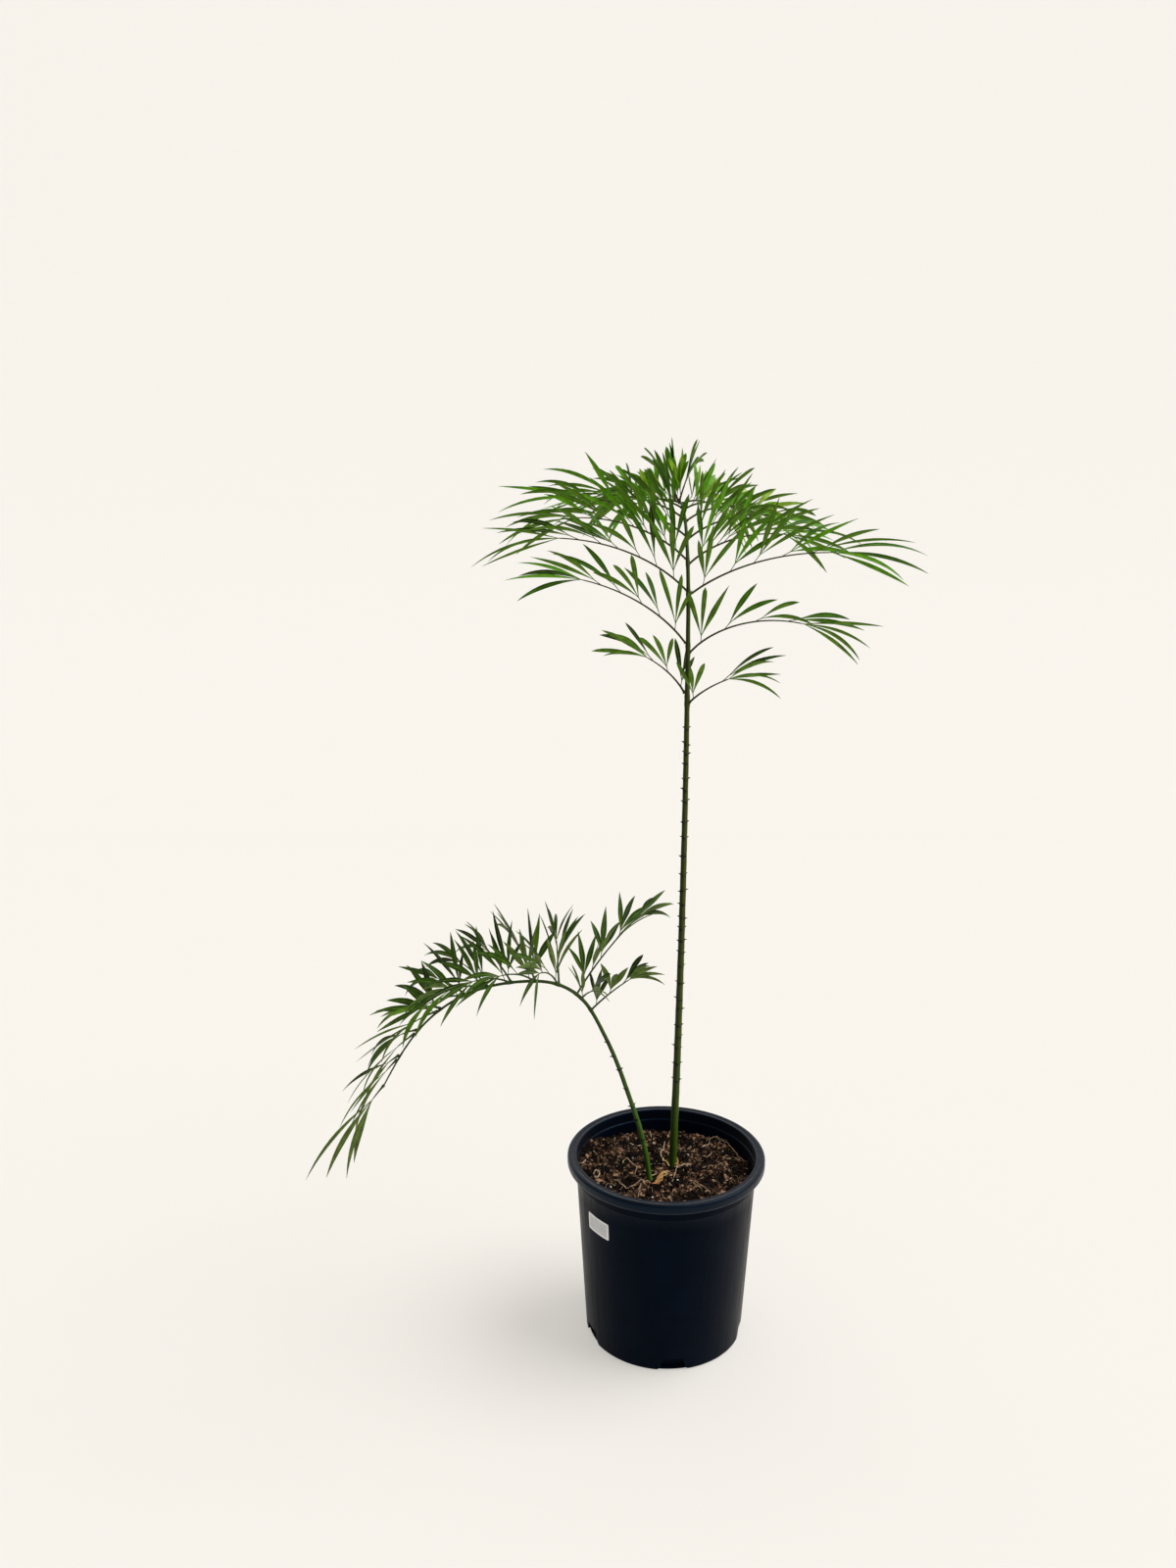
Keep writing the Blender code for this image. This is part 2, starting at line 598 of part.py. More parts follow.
def add_pot(material):
    """The pot, with its drainage notches cut through the foot."""
    pot = turned("pot", pot_outline(), POT_STEPS, material)
    cutters = new_collection("notch_cutters")
    for index in range(NOTCHES):
        add_notch_cutter(index, cutters)
    bpy.context.view_layer.update()
    join_all(pot, cutters, "DIFFERENCE")
    pot.data.shade_smooth()
    pot.data.set_sharp_from_angle(angle=np.radians(35.0))
    return pot


def mix_height(x, y):
    """The height of the potting mix: a low mound with a rise to the left and small lumps."""
    away = np.hypot(x, y) / MOUTH_RADIUS
    mound = MIX_MOUND * (1.0 - away ** 2)
    rise = MIX_LEFT_RISE * ease((-x / MOUTH_RADIUS - 0.35) / 0.6)
    waves = np.sin(x * MIX_LUMP_WAVES[0] + 1.3) * np.cos(y * MIX_LUMP_WAVES[1] - 0.4)
    lumps = MIX_LUMP * waves * ease((away - 0.25) / 0.3)
    return MIX_HEIGHT + mound + rise + lumps


def add_mix(material):
    """The potting mix that fills the pot, with a socket for each stalk's foot."""
    def side(height):
        return wall_radius(height) - WALL_THICKNESS - 1.5 * CLEARANCE
    base = BASE_THICKNESS + CLEARANCE
    turns = np.arange(POT_STEPS) * 2.0 * np.pi / POT_STEPS
    ring = np.stack([np.cos(turns), np.sin(turns)], axis=1)
    levels = [(MIX_CORNER_RADIUS, base), (side(MIX_CORNER_HEIGHT), MIX_CORNER_HEIGHT)]
    points = [(0.0, 0.0, base)]
    for radius, height in levels:
        points += [(radius * x, radius * y, height) for x, y in ring]
    edge = side(MIX_HEIGHT - MIX_MOUND)
    for number in range(MIX_RINGS):
        radius = edge * (1.0 - number / MIX_RINGS)
        points += [(radius * x, radius * y, mix_height(radius * x, radius * y)) for x, y in ring]
    points.append((0.0, 0.0, mix_height(0.0, 0.0)))
    rings = len(levels) + MIX_RINGS
    faces = []
    for step in range(POT_STEPS):
        after = (step + 1) % POT_STEPS
        faces.append((0, 1 + after, 1 + step))
        for level in range(rings - 1):
            low, high = 1 + level * POT_STEPS, 1 + (level + 1) * POT_STEPS
            faces.append((low + step, low + after, high + after))
            faces.append((low + step, high + after, high + step))
        top = 1 + (rings - 1) * POT_STEPS
        faces.append((top + step, top + after, len(points) - 1))
    mix = add_object("potting_mix", (points, faces), material)
    cutters = new_collection("socket_cutters")
    for stalk in (TALL, ARCHING):
        curve = stalk_curve(stalk)
        along = np.array([curve["along"][0]] * 2)
        deep = PLANTING_DEPTH + CLEARANCE
        ends = curve["points"][0] + np.outer((-deep, 0.02), curve["along"][0])
        radius = (stalk["radii"][0] + 1.5 * CLEARANCE) / np.cos(np.pi / STALK_SIDES)
        cutter = add_object("socket_cutter", prism(ends, along, (radius,) * 2, STALK_SIDES), None, cutters)
        cutter.hide_render = True
        cutter.display_type = "WIRE"
    join_all(mix, cutters, "DIFFERENCE")
    return mix


def main():
    """Build the potted plant."""
    clear_scene()
    plastic = make_material("black pot plastic", (0.010, 0.014, 0.022), 0.38)
    earth = make_material("potting mix", (0.060, 0.030, 0.018), 0.95)
    stem = make_material("green stalk", (0.045, 0.110, 0.022), 0.45)
    leaf = make_material("green leaflets", (0.035, 0.130, 0.020), 0.42)
    add_pot(plastic)
    add_mix(earth)
    limbs, ribs = grow_plant()
    for name, solid in limbs:
        limb = add_object(name, solid, stem)
        limb.data.shade_smooth()
        limb.data.set_sharp_from_angle(angle=np.radians(60.0))
    for rib in ribs:
        add_pinna(rib, leaf)


main()
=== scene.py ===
"""Looks of the potted cycad: pot, label, potting mix, loose roots, stalks, ribs and leaflets.

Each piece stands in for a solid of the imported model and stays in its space. The two fronds grow
again by the rule of the solids, and every leaflet is then drawn as a finer folded blade.
"""

import bpy
import numpy as np
from bpy.props import FloatProperty, FloatVectorProperty, IntProperty, PointerProperty
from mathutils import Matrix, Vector
from mathutils.bvhtree import BVHTree


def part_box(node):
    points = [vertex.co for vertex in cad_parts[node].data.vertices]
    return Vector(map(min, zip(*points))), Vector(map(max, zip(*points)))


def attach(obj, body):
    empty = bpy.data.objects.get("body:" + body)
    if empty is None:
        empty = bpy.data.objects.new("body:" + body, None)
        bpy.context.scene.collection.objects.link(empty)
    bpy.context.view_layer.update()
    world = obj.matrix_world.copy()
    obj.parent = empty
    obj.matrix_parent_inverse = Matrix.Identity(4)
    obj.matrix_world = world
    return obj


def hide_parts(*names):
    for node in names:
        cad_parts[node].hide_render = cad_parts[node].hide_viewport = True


bl_info = {
    "name": "Potted Cycad",
    "version": (1, 0, 0),
    "blender": (4, 5, 0),
    "location": "3D View > Sidebar > Cycad",
    "description": "Builds the finished surfaces of a young cycad in a nursery pot",
    "category": "Add Mesh",
}

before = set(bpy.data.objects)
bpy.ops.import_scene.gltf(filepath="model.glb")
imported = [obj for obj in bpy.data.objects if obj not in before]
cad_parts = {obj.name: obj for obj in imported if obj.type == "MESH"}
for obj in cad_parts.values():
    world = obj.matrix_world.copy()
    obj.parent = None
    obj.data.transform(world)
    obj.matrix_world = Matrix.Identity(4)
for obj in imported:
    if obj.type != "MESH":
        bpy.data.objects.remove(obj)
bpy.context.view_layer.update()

UP = np.array([0.0, 0.0, 1.0])
CLEARANCE = 0.0003
FULL_TURN = 2.0 * np.pi

# Pot
POT_HEIGHT = float(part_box("pot")[1][2])
RIM_RADIUS = 0.1250
RIM_DROP = 0.0127
RIM_ROLL = 0.0032
MOUTH_RADIUS = 0.1131
WALL_FOOT_RADIUS = 0.1005
WALL_TAPER = 0.0587
WALL_THICKNESS = 0.0022
BASE_THICKNESS = 0.0030
BAND_BOTTOM = 0.2165
BAND_STEP = 0.0013
POT_STEPS = 240
NOTCHES = 5
NOTCH_FIRST_ANGLE = np.radians(-86.5)
NOTCH_INNER_RADIUS = 0.090
NOTCH_HEIGHT = 0.0170
NOTCH_TOP_HALF = 0.0136
NOTCH_FLARE = 0.0079
NOTCH_FLARE_HEIGHT = 0.0035
NOTCH_ROUNDING = 0.0045
# The foot ring stands behind the notches; its toe covers the floor seen through them with dark plastic, a
# painted contact shadow
FOOT_RING_RADIUS = 0.0935
FOOT_RING_SHADOW_TOE = 0.0040
FOOT_RING_OVER_NOTCH = 0.0010
RUBBED_BELOW_RIM = 0.0020
WALL_GLOSS = 0.045
RIM_GLOSS = 0.32
SHARP_POT_ANGLE = np.radians(32.0)
LABEL_AZIMUTH = np.radians(-141.3)
LABEL_HEIGHT = 0.1832
LABEL_TILT = np.radians(-1.5)
LABEL_CORNER = 0.0016
LABEL_THICKNESS = 0.00022
LABEL_LIFT = 0.00012
LABEL_RIPPLE = 0.00010
# The printed field's middle and half size, as shares of the label's width and height
FIELD_MIDDLE = (-0.0125, -0.019)
FIELD_HALF = (0.435, 0.40)

# Potting mix
MIX_HEIGHT = 0.2185
MIX_MOUND = 0.0045
MIX_LEFT_RISE = 0.0110
MIX_BASE_RADII = (0.0, 0.040, 0.082)
MIX_SIDE_HEIGHTS = (0.022, 0.08, 0.15)
MIX_RINGS = 96
MIX_STEPS = 300
# Its lumps: height, size and seed
MIX_LUMPS = ((0.0014, 0.030, 1), (0.0016, 0.013, 2), (0.0013, 0.0060, 3), (0.0006, 0.0028, 4))
# Crumbs by grade: name, dark and light colour, how many as a fraction of the setting, size, stretch
# along X, Y and Z, roughness, and how much they like the mix's light patches
GRADES = (
    # The moist peat's near-black is partly its own tone and partly painted shade for the dark gaps among the
    # crumbs
    ("moist peat, with painted gap shade", "#070504", "#1c1410", (5, 4), 0.0023, (1.1, 1.0, 0.8), 0.95, -1.0),
    ("composted bark crumb", "#33241a", "#705440", (5, 8), 0.0024, (1.2, 1.0, 0.75), 0.95, 1.0),
    ("red-brown bark chip", "#7a5840", "#b59275", (1, 7), 0.0030, (1.5, 0.9, 0.5), 0.9, 0.8),
    ("pale wood sliver", "#a28871", "#d6bfa6", (1, 13), 0.0024, (2.8, 0.5, 0.4), 0.9, 0.5),
    ("perlite", "#cfc9bf", "#f4f1ea", (1, 110), 0.0019, (1.0, 1.0, 0.9), 0.8, 0.0),
)
CRUMBS_FROM_WALL = 0.0016
CRUMB_SEED = 20
# How far loose roots and strips lie higher, to be over the crumbs, and how far out fibres start and go
ROOTS_OVER_CRUMBS = 0.0011
FIBRE_REACH = 0.104
FIBRE_LIMIT = 0.107
ROOT_RINGS = 40
FIBRE_RINGS = 9
STRIP_RINGS = 15
STRIP_THICKNESS = 0.00035

# The growth rule of the two fronds: the same values as those of the solids
PLANTING_DEPTH = 0.016
STALK_SIDES = 8
RING_SAMPLES = 41
BEND_WEIGHT = 0.16
TALL = {
    "foot": (0.0087, 0.0054, 0.2225), "length": 0.985, "lean": 0.0, "azimuth": 90.0,
    "sway": (1.6, -1.2), "bends": ((92.0, 0.800, 0.130),),
    "radii": (0.0050, 0.0030, 0.0010), "first_pinna": 0.60,
    "limbs": (("tall_stalk", 0.0, 0.735, 18), ("tall_rachis_end", 0.735, 0.985, 15)),
}
ARCHING = {
    "foot": (-0.0217, -0.0299, 0.2225), "length": 0.572, "lean": 8.0, "azimuth": 180.0,
    "sway": (0.0, 0.0),
    "bends": ((10.0, 0.060, 0.045), (8.0, 0.180, 0.050), (60.0, 0.278, 0.055), (66.0, 0.420, 0.140)),
    "radii": (0.0034, 0.0022, 0.0009), "first_pinna": 0.24,
    "limbs": (("arching_stalk", 0.0, 0.255, 11), ("arching_rachis_top", 0.255, 0.410, 13),
              ("arching_rachis_end", 0.410, 0.572, 11)),
}
# name, place, side, angle, lift, turn, rib length, pinnules, leaflets at foot and tip, seed
TALL_PINNAE = (
    ("tall_pinna_right_1", 0.5995, 1, 46, 38, 21, 0.060, 2, 0.052, 0.078, 83),
    ("tall_pinna_left_1", 0.608, -1, 30, 14, 30, 0.060, 3, 0.050, 0.066, 68),
    ("tall_pinna_right_2", 0.6585, 1, 42, 14, 58, 0.136, 4, 0.060, 0.095, 33),
    ("tall_pinna_left_2", 0.668, -1, 36, 4, 40, 0.140, 5, 0.060, 0.088, 28),
    ("tall_pinna_right_3", 0.726, 1, 54, 14, 38, 0.165, 5, 0.072, 0.105, 36),
    ("tall_pinna_left_3", 0.730, -1, 45, 16, 44, 0.158, 6, 0.068, 0.098, 62),
    ("tall_pinna_right_4", 0.762, 1, 48, 6, 46, 0.122, 5, 0.070, 0.100, 27),
    ("tall_pinna_left_4", 0.767, -1, 44, 12, 46, 0.140, 5, 0.068, 0.105, 11),
    ("tall_pinna_right_9", 0.922, 1, 54, 72, 14, 0.044, 3, 0.064, 0.062, 41),
    ("tall_pinna_left_9", 0.927, -1, 50, 70, 14, 0.044, 3, 0.062, 0.064, 54),
    ("tall_pinna_end", 0.985, 1, 64, 90, 8, 0.020, 3, 0.060, 0.062, 91),
)
ARCHING_PINNAE = (
    ("arching_pinna_low", 0.243, -1, 68, 66, 10, 0.072, 3, 0.045, 0.056, 39),
    ("arching_pinna_short", 0.262, -1, 72, 40, 15, 0.050, 2, 0.045, 0.055, 11),
    ("arching_pinna_high", 0.270, 1, 85, 60, 22, 0.125, 6, 0.062, 0.064, 77),
    ("arching_pinna_end", 0.572, 1, 12, 90, 4, 0.022, 0, 0.105, 0.124, 55),
)
TALL_RUNS = (
    ("tall_pinna_right", 5, 4, 1, (0.795, 48, 6, 42, 0.125, 5, 0.070, 0.095),
     (0.888, 40, 14, 34, 0.074, 3, 0.066, 0.080), (33, 93, 83, 73)),
    ("tall_pinna_left", 5, 4, -1, (0.800, 50, 16, 34, 0.130, 5, 0.070, 0.112),
     (0.893, 40, 18, 30, 0.074, 3, 0.066, 0.080), (104, 12, 59, 7)),
)
ARCHING_RUNS = (
    ("arching_pinna_near", 1, 5, -1, (0.297, 64, 50, 37, 0.066, 3, 0.074, 0.068),
     (0.413, 56, 46, 26, 0.046, 2, 0.070, 0.070), (87, 105, 36, 90, 103)),
    ("arching_pinna_near", 6, 3, -1, (0.449, 44, 42, 14, 0.030, 1, 0.070, 0.076),
     (0.529, 34, 38, 8, 0.016, 0, 0.070, 0.090), (65, 106, 87)),
    ("arching_pinna_far", 1, 5, 1, (0.295, 72, 48, 22, 0.058, 3, 0.074, 0.070),
     (0.411, 60, 48, 18, 0.042, 2, 0.070, 0.070), (107, 71, 94, 8, 68)),
    ("arching_pinna_far", 6, 3, 1, (0.445, 46, 50, 14, 0.030, 1, 0.070, 0.076),
     (0.524, 28, 51, 8, 0.016, 0, 0.070, 0.092), (85, 48, 11)),
)
PINNULE_PLACES = (0.11, 0.86)
PINNULE_LIFT = (75.0, 55.0)
PINNULE_SPREAD = (50.0, 18.0)
PINNULE_STALK = 0.13
LEAFLET_FAN = 20.0
END_FAN = 12.0
END_LEAFLETS = 4
SHORT_END_LEAFLETS = 3
SHORT_RIB = 0.052
LONG_FAN = 0.100
THREE_LEAFLET_SHARE = 0.70
LEAFLET_WIDTH = 0.0072
LEAFLET_WIDTH_AT = 0.090
LEAFLET_TURN = (0.15, 0.85)
LEAFLET_POINTS = 21
LEAFLET_FOOT = 0.0011
LEAFLET_DEPTH_SHARE = 0.011
LEAFLET_LEAST_DEPTH = 0.0008
LONG_LEAFLET = 0.072
LONG_STATIONS = (0.35, 0.70)
SHORT_STATIONS = (0.45,)
LEAFLET_TRIES = 4
LEAFLET_SPACE = 0.0008
RIB_POINTS = 13
LONG_RIB = 0.090
RIB_SKIP_LONG = 2
RIB_SKIP_SHORT = 3
RIB_RADII = (0.0014, 0.0009)
PINNULE_STALK_HALF_WIDTH = 0.0008
PINNULE_SINK = 0.0006
END_SINK = 0.0040
END_STALK = 0.0020

# Finer growth than that of the solids: the pinnae that stay open all along, how far out along the
# others it goes, the size of its leaflets against theirs, and what is added to a pinna's seed
OPEN_PINNAE = ("tall_pinna_right_1", "tall_pinna_left_1", "tall_pinna_right_2", "tall_pinna_left_2",
               "tall_pinna_right_3", "tall_pinna_left_3", "arching_pinna")
FINER_REACH = 0.30
FINER_LEAFLET = 0.86
FINER_SEED = 500

# Blades: rings along one, its length against the rule's leaflet, the length from which it is slimmer
# than the rule's and how much wider a short one gets at most, how much narrower a blunt one is, and
# half widths and heights of its midrib, in metres
BLADE_STATIONS = 12
BLADE_LENGTH = 0.985
SLIM_BLADE = 0.070
SHORT_WIDENING = 1.2
BLUNT_NARROWING = 0.22
BLADE_TIP = 0.00012
MIDRIB_HALF_WIDTH = 0.00034
MIDRIB_RIDGE = 0.00014
MIDRIB_KEEL = 0.00042

# How the two fronds look: greens of the stalk and of the ribs as (height, hex) stops, the first and
# last place, the spacing and the seed of the spines, the length up to which a blade is blunt, how
# much more than the rule's leaflet it turns down, its usual bend sideways against its length, and
# its width in a pinnule, in the fan at a pinna's end and in the fan at the frond's end
TALL_LOOK = {
    "stalk": ((0.222, "#3c6312"), (0.262, "#42651a"), (0.32, "#43571a"), (0.55, "#48521b"),
              (0.85, "#4b571f"), (1.10, "#4b6425")),
    "ribs": ((0.2, "#3c3d1e"), (1.1, "#40421e")),
    "spines": (0.100, 0.575, 0.0185, 7), "blunt": 0.068, "turn": 1.0, "sickle": 0.018,
    "widths": (1.0, 1.0, 1.0),
}
ARCHING_LOOK = {
    "stalk": ((0.222, "#4f7a22"), (0.30, "#466a22"), (0.42, "#3c5420"), (0.50, "#42592a")),
    "ribs": ((0.2, "#3a4a22"), (0.5, "#40512a")),
    "spines": (0.040, 0.215, 0.0215, 8), "blunt": 0.042, "turn": 1.30, "sickle": 0.050,
    "widths": (1.10, 0.80, 1.30),
}
# The tall frond's blades: their width below its top, what the top adds, and where and over how much
# of its length it does
TOP_WIDTH = (0.88, 0.8)
TOP_PLACES = (0.84, 0.10)
# Spines and the scars by them, the swelling at a pinna's joint, and the grids of stalk and ribs
SPINE_HEIGHT = 0.0031
SCAR_LENGTH = 0.0013
JOINT_SWELLING = 0.16
JOINT_LENGTH = 0.0035
STALK_RINGS = 961
RIB_RINGS = 44
RIB_AROUND = 7


# ---- Curves ---------------------------------------------------------------------------------


def unit(vector):
    """The vector, or each row of an array of vectors, at length 1."""
    return vector / np.linalg.norm(vector, axis=-1, keepdims=True)


def between(ends, share):
    """The value a share of the way from the first end to the second."""
    return ends[0] + (ends[1] - ends[0]) * share


def ease(share):
    """A smooth step from 0 to 1."""
    share = np.clip(share, 0.0, 1.0)
    return share * share * (3.0 - 2.0 * share)


def walk(start, along, length):
    """Points reached from start by going along the given directions in equal steps."""
    steps = 0.5 * (along[1:] + along[:-1]) * length / (len(along) - 1)
    return start + np.vstack([np.zeros(3), np.cumsum(steps, axis=0)])


def stalk_curve(stalk, count=161):
    """Places, points and directions along a stalk, and the level direction across its blade."""
    places = np.linspace(0.0, stalk["length"], count)
    tilt = np.full(count, np.radians(stalk["lean"]))
    for amount, middle, half in stalk["bends"]:
        tilt += np.radians(amount) * ease((places - middle + half) / (2.0 * half))
    sway = np.radians(between(stalk["sway"], places / stalk["length"]))
    azimuth = np.radians(stalk["azimuth"])
    outward = np.array([np.cos(azimuth), np.sin(azimuth), 0.0])
    across = np.cross(outward, UP)
    along = np.outer(np.sin(tilt), outward) + np.outer(np.cos(tilt), UP) + np.outer(np.tan(sway), across)
    along = unit(along)
    return {"places": places, "points": walk(np.array(stalk["foot"]), along, stalk["length"]),
            "along": along, "across": across, "stalk": stalk}


def on_stalk(curve, key, place):
    """The curve's points or directions, read at one place along it."""
    return np.array([np.interp(place, curve["places"], curve[key][:, axis]) for axis in range(3)])


def limb_places(curve, start, end, rings):
    """Places from start to end for a limb's rings, closer together where the stalk bends."""
    places = np.linspace(start, end, RING_SAMPLES)
    along = unit(np.array([on_stalk(curve, "along", place) for place in places]))
    bent = np.linalg.norm(np.diff(along, axis=0), axis=1)
    travel = np.concatenate(([0.0], np.cumsum(np.diff(places) + BEND_WEIGHT * bent)))
    return np.interp(np.linspace(0.0, travel[-1], rings), travel, places)


def stalk_radius(stalk, place):
    """The stalk's radius, which tapers to its first pinna and faster from there to its tip."""
    return np.interp(place, (0.0, stalk["first_pinna"], stalk["length"]), stalk["radii"])


def drooping(root, heading, turn, length, count, power):
    """A stem from root along heading that turns downwards by the given angle over its length."""
    level = unit(heading * np.array([1.0, 1.0, 0.0]))
    pitch = np.arcsin(heading[2]) - turn * np.linspace(0.0, 1.0, count) ** power
    along = np.outer(np.cos(pitch), level) + np.outer(np.sin(pitch), UP)
    return walk(root, along, length), along


# ---- How a pinna grows ----------------------------------------------------------------------


def pinna_rows(rows, runs):
    """All the pinnae of one frond, with those of each run worked out between its two ends."""
    found = list(rows)
    for name, number, count, side, first, last, seeds in runs:
        for index in range(count):
            place, angle, lift, turn, length, pinnules, short, long = (
                between(pair, index / (count - 1)) for pair in zip(first, last))
            found.append((f"{name}_{number + index}", place, side, angle, lift, turn, length,
                          round(pinnules), short, long, seeds[index]))
    return found


def grow_rib(curve, row):
    """The rib of one pinna, which starts just clear of its stalk."""
    name, place, side, angle, lift, turn, length, pinnules, short, long, seed = row
    along = unit(on_stalk(curve, "along", place))
    across = unit(curve["across"] - (curve["across"] @ along) * along)
    upper = np.cross(across, along)
    angle, lift = np.radians(angle), np.radians(lift)
    sideways = np.cos(lift) * side * across + np.sin(lift) * upper
    heading = np.cos(angle) * along + np.sin(angle) * sideways
    radius = stalk_radius(curve["stalk"], place)
    if place < curve["stalk"]["length"]:
        gap = (radius + CLEARANCE + RIB_RADII[0] * np.cos(angle)) / np.sin(angle)
    else:
        gap = CLEARANCE + RIB_RADII[0] * np.sin(angle)
    root = on_stalk(curve, "points", place) + heading * gap
    points, directions = drooping(root, heading, np.radians(turn), length, RIB_POINTS, 0.8)
    return {"name": name, "points": points, "along": directions, "length": length,
            "pinnules": pinnules, "leaflet": (short, long), "seed": seed}


def grow_pinnule(rib, index):
    """The stalk of one pinnule, the last of which is the fan of leaflets at the rib's tip."""
    last = index == rib["pinnules"]
    random = np.random.default_rng((rib["seed"], index))
    first_side = 1.0 if np.random.default_rng(rib["seed"]).random() < 0.5 else -1.0
    share = between(PINNULE_PLACES, index / max(rib["pinnules"] - 1, 1)) + random.uniform(-0.02, 0.02)
    share = 1.0 if last else share
    place = share * (RIB_POINTS - 1)
    start = min(int(place), RIB_POINTS - 2)
    root = between(rib["points"][start:start + 2], place - start)
    along = rib["along"][start + 1]
    level = unit(np.cross(along, UP))
    lift = np.radians(between(PINNULE_LIFT, share) + random.uniform(-12.0, 12.0))
    hand = first_side * (-1) ** index
    across = np.cos(lift) * level * hand + np.sin(lift) * np.cross(level, along)
    spread = 0.0 if last else np.radians(between(PINNULE_SPREAD, share) + random.uniform(-6.0, 6.0))
    three = share < 0.8 and random.random() < THREE_LEAFLET_SHARE
    size = between(rib["leaflet"], share)
    direction = np.cos(spread) * along + np.sin(spread) * across
    fork = root + direction * (END_STALK if last else size * PINNULE_STALK)
    root = root - direction * (END_SINK if last else PINNULE_SINK)
    face = np.cross(along, across)
    end_count = SHORT_END_LEAFLETS if rib["length"] < SHORT_RIB and size < LONG_FAN else END_LEAFLETS
    return {"last": last, "root": root, "fork": fork, "along": along, "across": across,
            "direction": direction, "face": face if face[2] > 0.0 else -face, "spread": spread,
            "count": end_count if last else 3 if three else 2, "size": size}


def grow_leaflet(rib, pinnule, index, number, attempt):
    """Root, direction, upper face, length, width and downward turn of one leaflet."""
    random = np.random.default_rng((rib["seed"], index, number, attempt))
    count = pinnule["count"]
    fan = np.radians(END_FAN if pinnule["last"] else LEAFLET_FAN)
    angle = pinnule["spread"] + (number - (count - 1) / 2.0) * fan
    angle += np.radians(random.uniform(-3.0, 3.0))
    lift = np.radians(random.uniform(-8.0, 8.0)) * (1.0 + 2.0 * attempt)
    direction = unit(np.cos(angle) * pinnule["along"] + np.sin(angle) * pinnule["across"]
                     + np.tan(lift) * pinnule["face"])
    rank = 0.0 if pinnule["last"] else number / (count - 1)
    length = pinnule["size"] * random.uniform(0.8, 1.12) * (1.0 - 0.22 * rank) * 0.9 ** attempt
    turn = random.uniform(*LEAFLET_TURN) * max(np.hypot(direction[0], direction[1]), 0.2)
    width = LEAFLET_WIDTH * (length / LEAFLET_WIDTH_AT) ** 0.5
    return pinnule["fork"], direction, pinnule["face"], length, width, turn


def leaflet_width(share):
    """Half of the outline of a leaflet of width 2: narrow at its root, with a long sharp tip."""
    rise = 0.14 + 0.86 * np.sin(0.5 * np.pi * np.clip(share / 0.5, 0.0, 1.0)) ** 1.4
    fall = np.clip((1.0 - share) / 0.5, 0.0, 1.0) ** 0.8
    return np.minimum(rise, fall)


# ---- Plain meshes of the rule's shapes ------------------------------------------------------


def prism(points, along, radii, sides=3):
    """Points and faces of a closed limb with flat ends, round the given line."""
    rings = []
    normal = unit(np.cross(along[0], UP if abs(along[0][2]) < 0.9 else np.array([1.0, 0.0, 0.0])))
    for point, direction, radius in zip(points, along, radii):
        normal = unit(normal - (normal @ direction) * direction)
        other = np.cross(direction, normal)
        turns = np.arange(sides) * 2.0 * np.pi / sides
        rings.append(point + radius * (np.outer(np.cos(turns), normal) + np.outer(np.sin(turns), other)))
    faces = [tuple(reversed(range(sides)))]
    for ring in range(len(points) - 1):
        for side in range(sides):
            low, next_low = ring * sides + side, ring * sides + (side + 1) % sides
            faces.append((low, next_low, next_low + sides, low + sides))
    faces.append(tuple(range((len(points) - 1) * sides, len(points) * sides)))
    return np.vstack(rings), faces


def leaflet_rings(leaflet, extra=0.0):
    """Left, right and keel points at each station of a leaflet, then its tip."""
    fork, direction, face, length, width, turn = leaflet
    line, along = drooping(fork, direction, turn, length, LEAFLET_POINTS, 1.3)
    depth = max(LEAFLET_DEPTH_SHARE * length, LEAFLET_LEAST_DEPTH) + extra
    rings = []
    for station in LONG_STATIONS if length > LONG_LEAFLET else SHORT_STATIONS:
        at = round(station * (LEAFLET_POINTS - 1))
        normal = unit(face - (face @ along[at]) * along[at])
        side = np.cross(normal, along[at]) * (leaflet_width(station) * width / 2.0 + extra)
        rings += [line[at] - side, line[at] + side, line[at] - normal * depth]
    return rings + [line[-1] + along[-1] * extra]


def leaflet_faces(root, first, last):
    """Faces from the root's three points, over the rings numbered from first, to the tip at last."""
    faces = []
    ring = root
    for start in range(first, last, 3):
        after = (start, start + 1, start + 2)
        for one, two in ((0, 1), (1, 2), (2, 0)):
            faces += [(ring[one], after[one], after[two]), (ring[one], after[two], ring[two])]
        ring = after
    return faces + [(ring[one], last, ring[two]) for one, two in ((0, 1), (1, 2), (2, 0))]


def leaflet_space(pinnule, leaflet):
    """Points and faces of one leaflet, larger on all sides by the space that it needs."""
    face = pinnule["face"]
    side = np.cross(face, leaflet[1]) * LEAFLET_SPACE
    root = leaflet[0]
    points = [root - side, root + side, root - face * LEAFLET_SPACE] + leaflet_rings(leaflet, LEAFLET_SPACE)
    return np.array(points), [(0, 1, 2)] + leaflet_faces((0, 1, 2), 3, len(points) - 1)


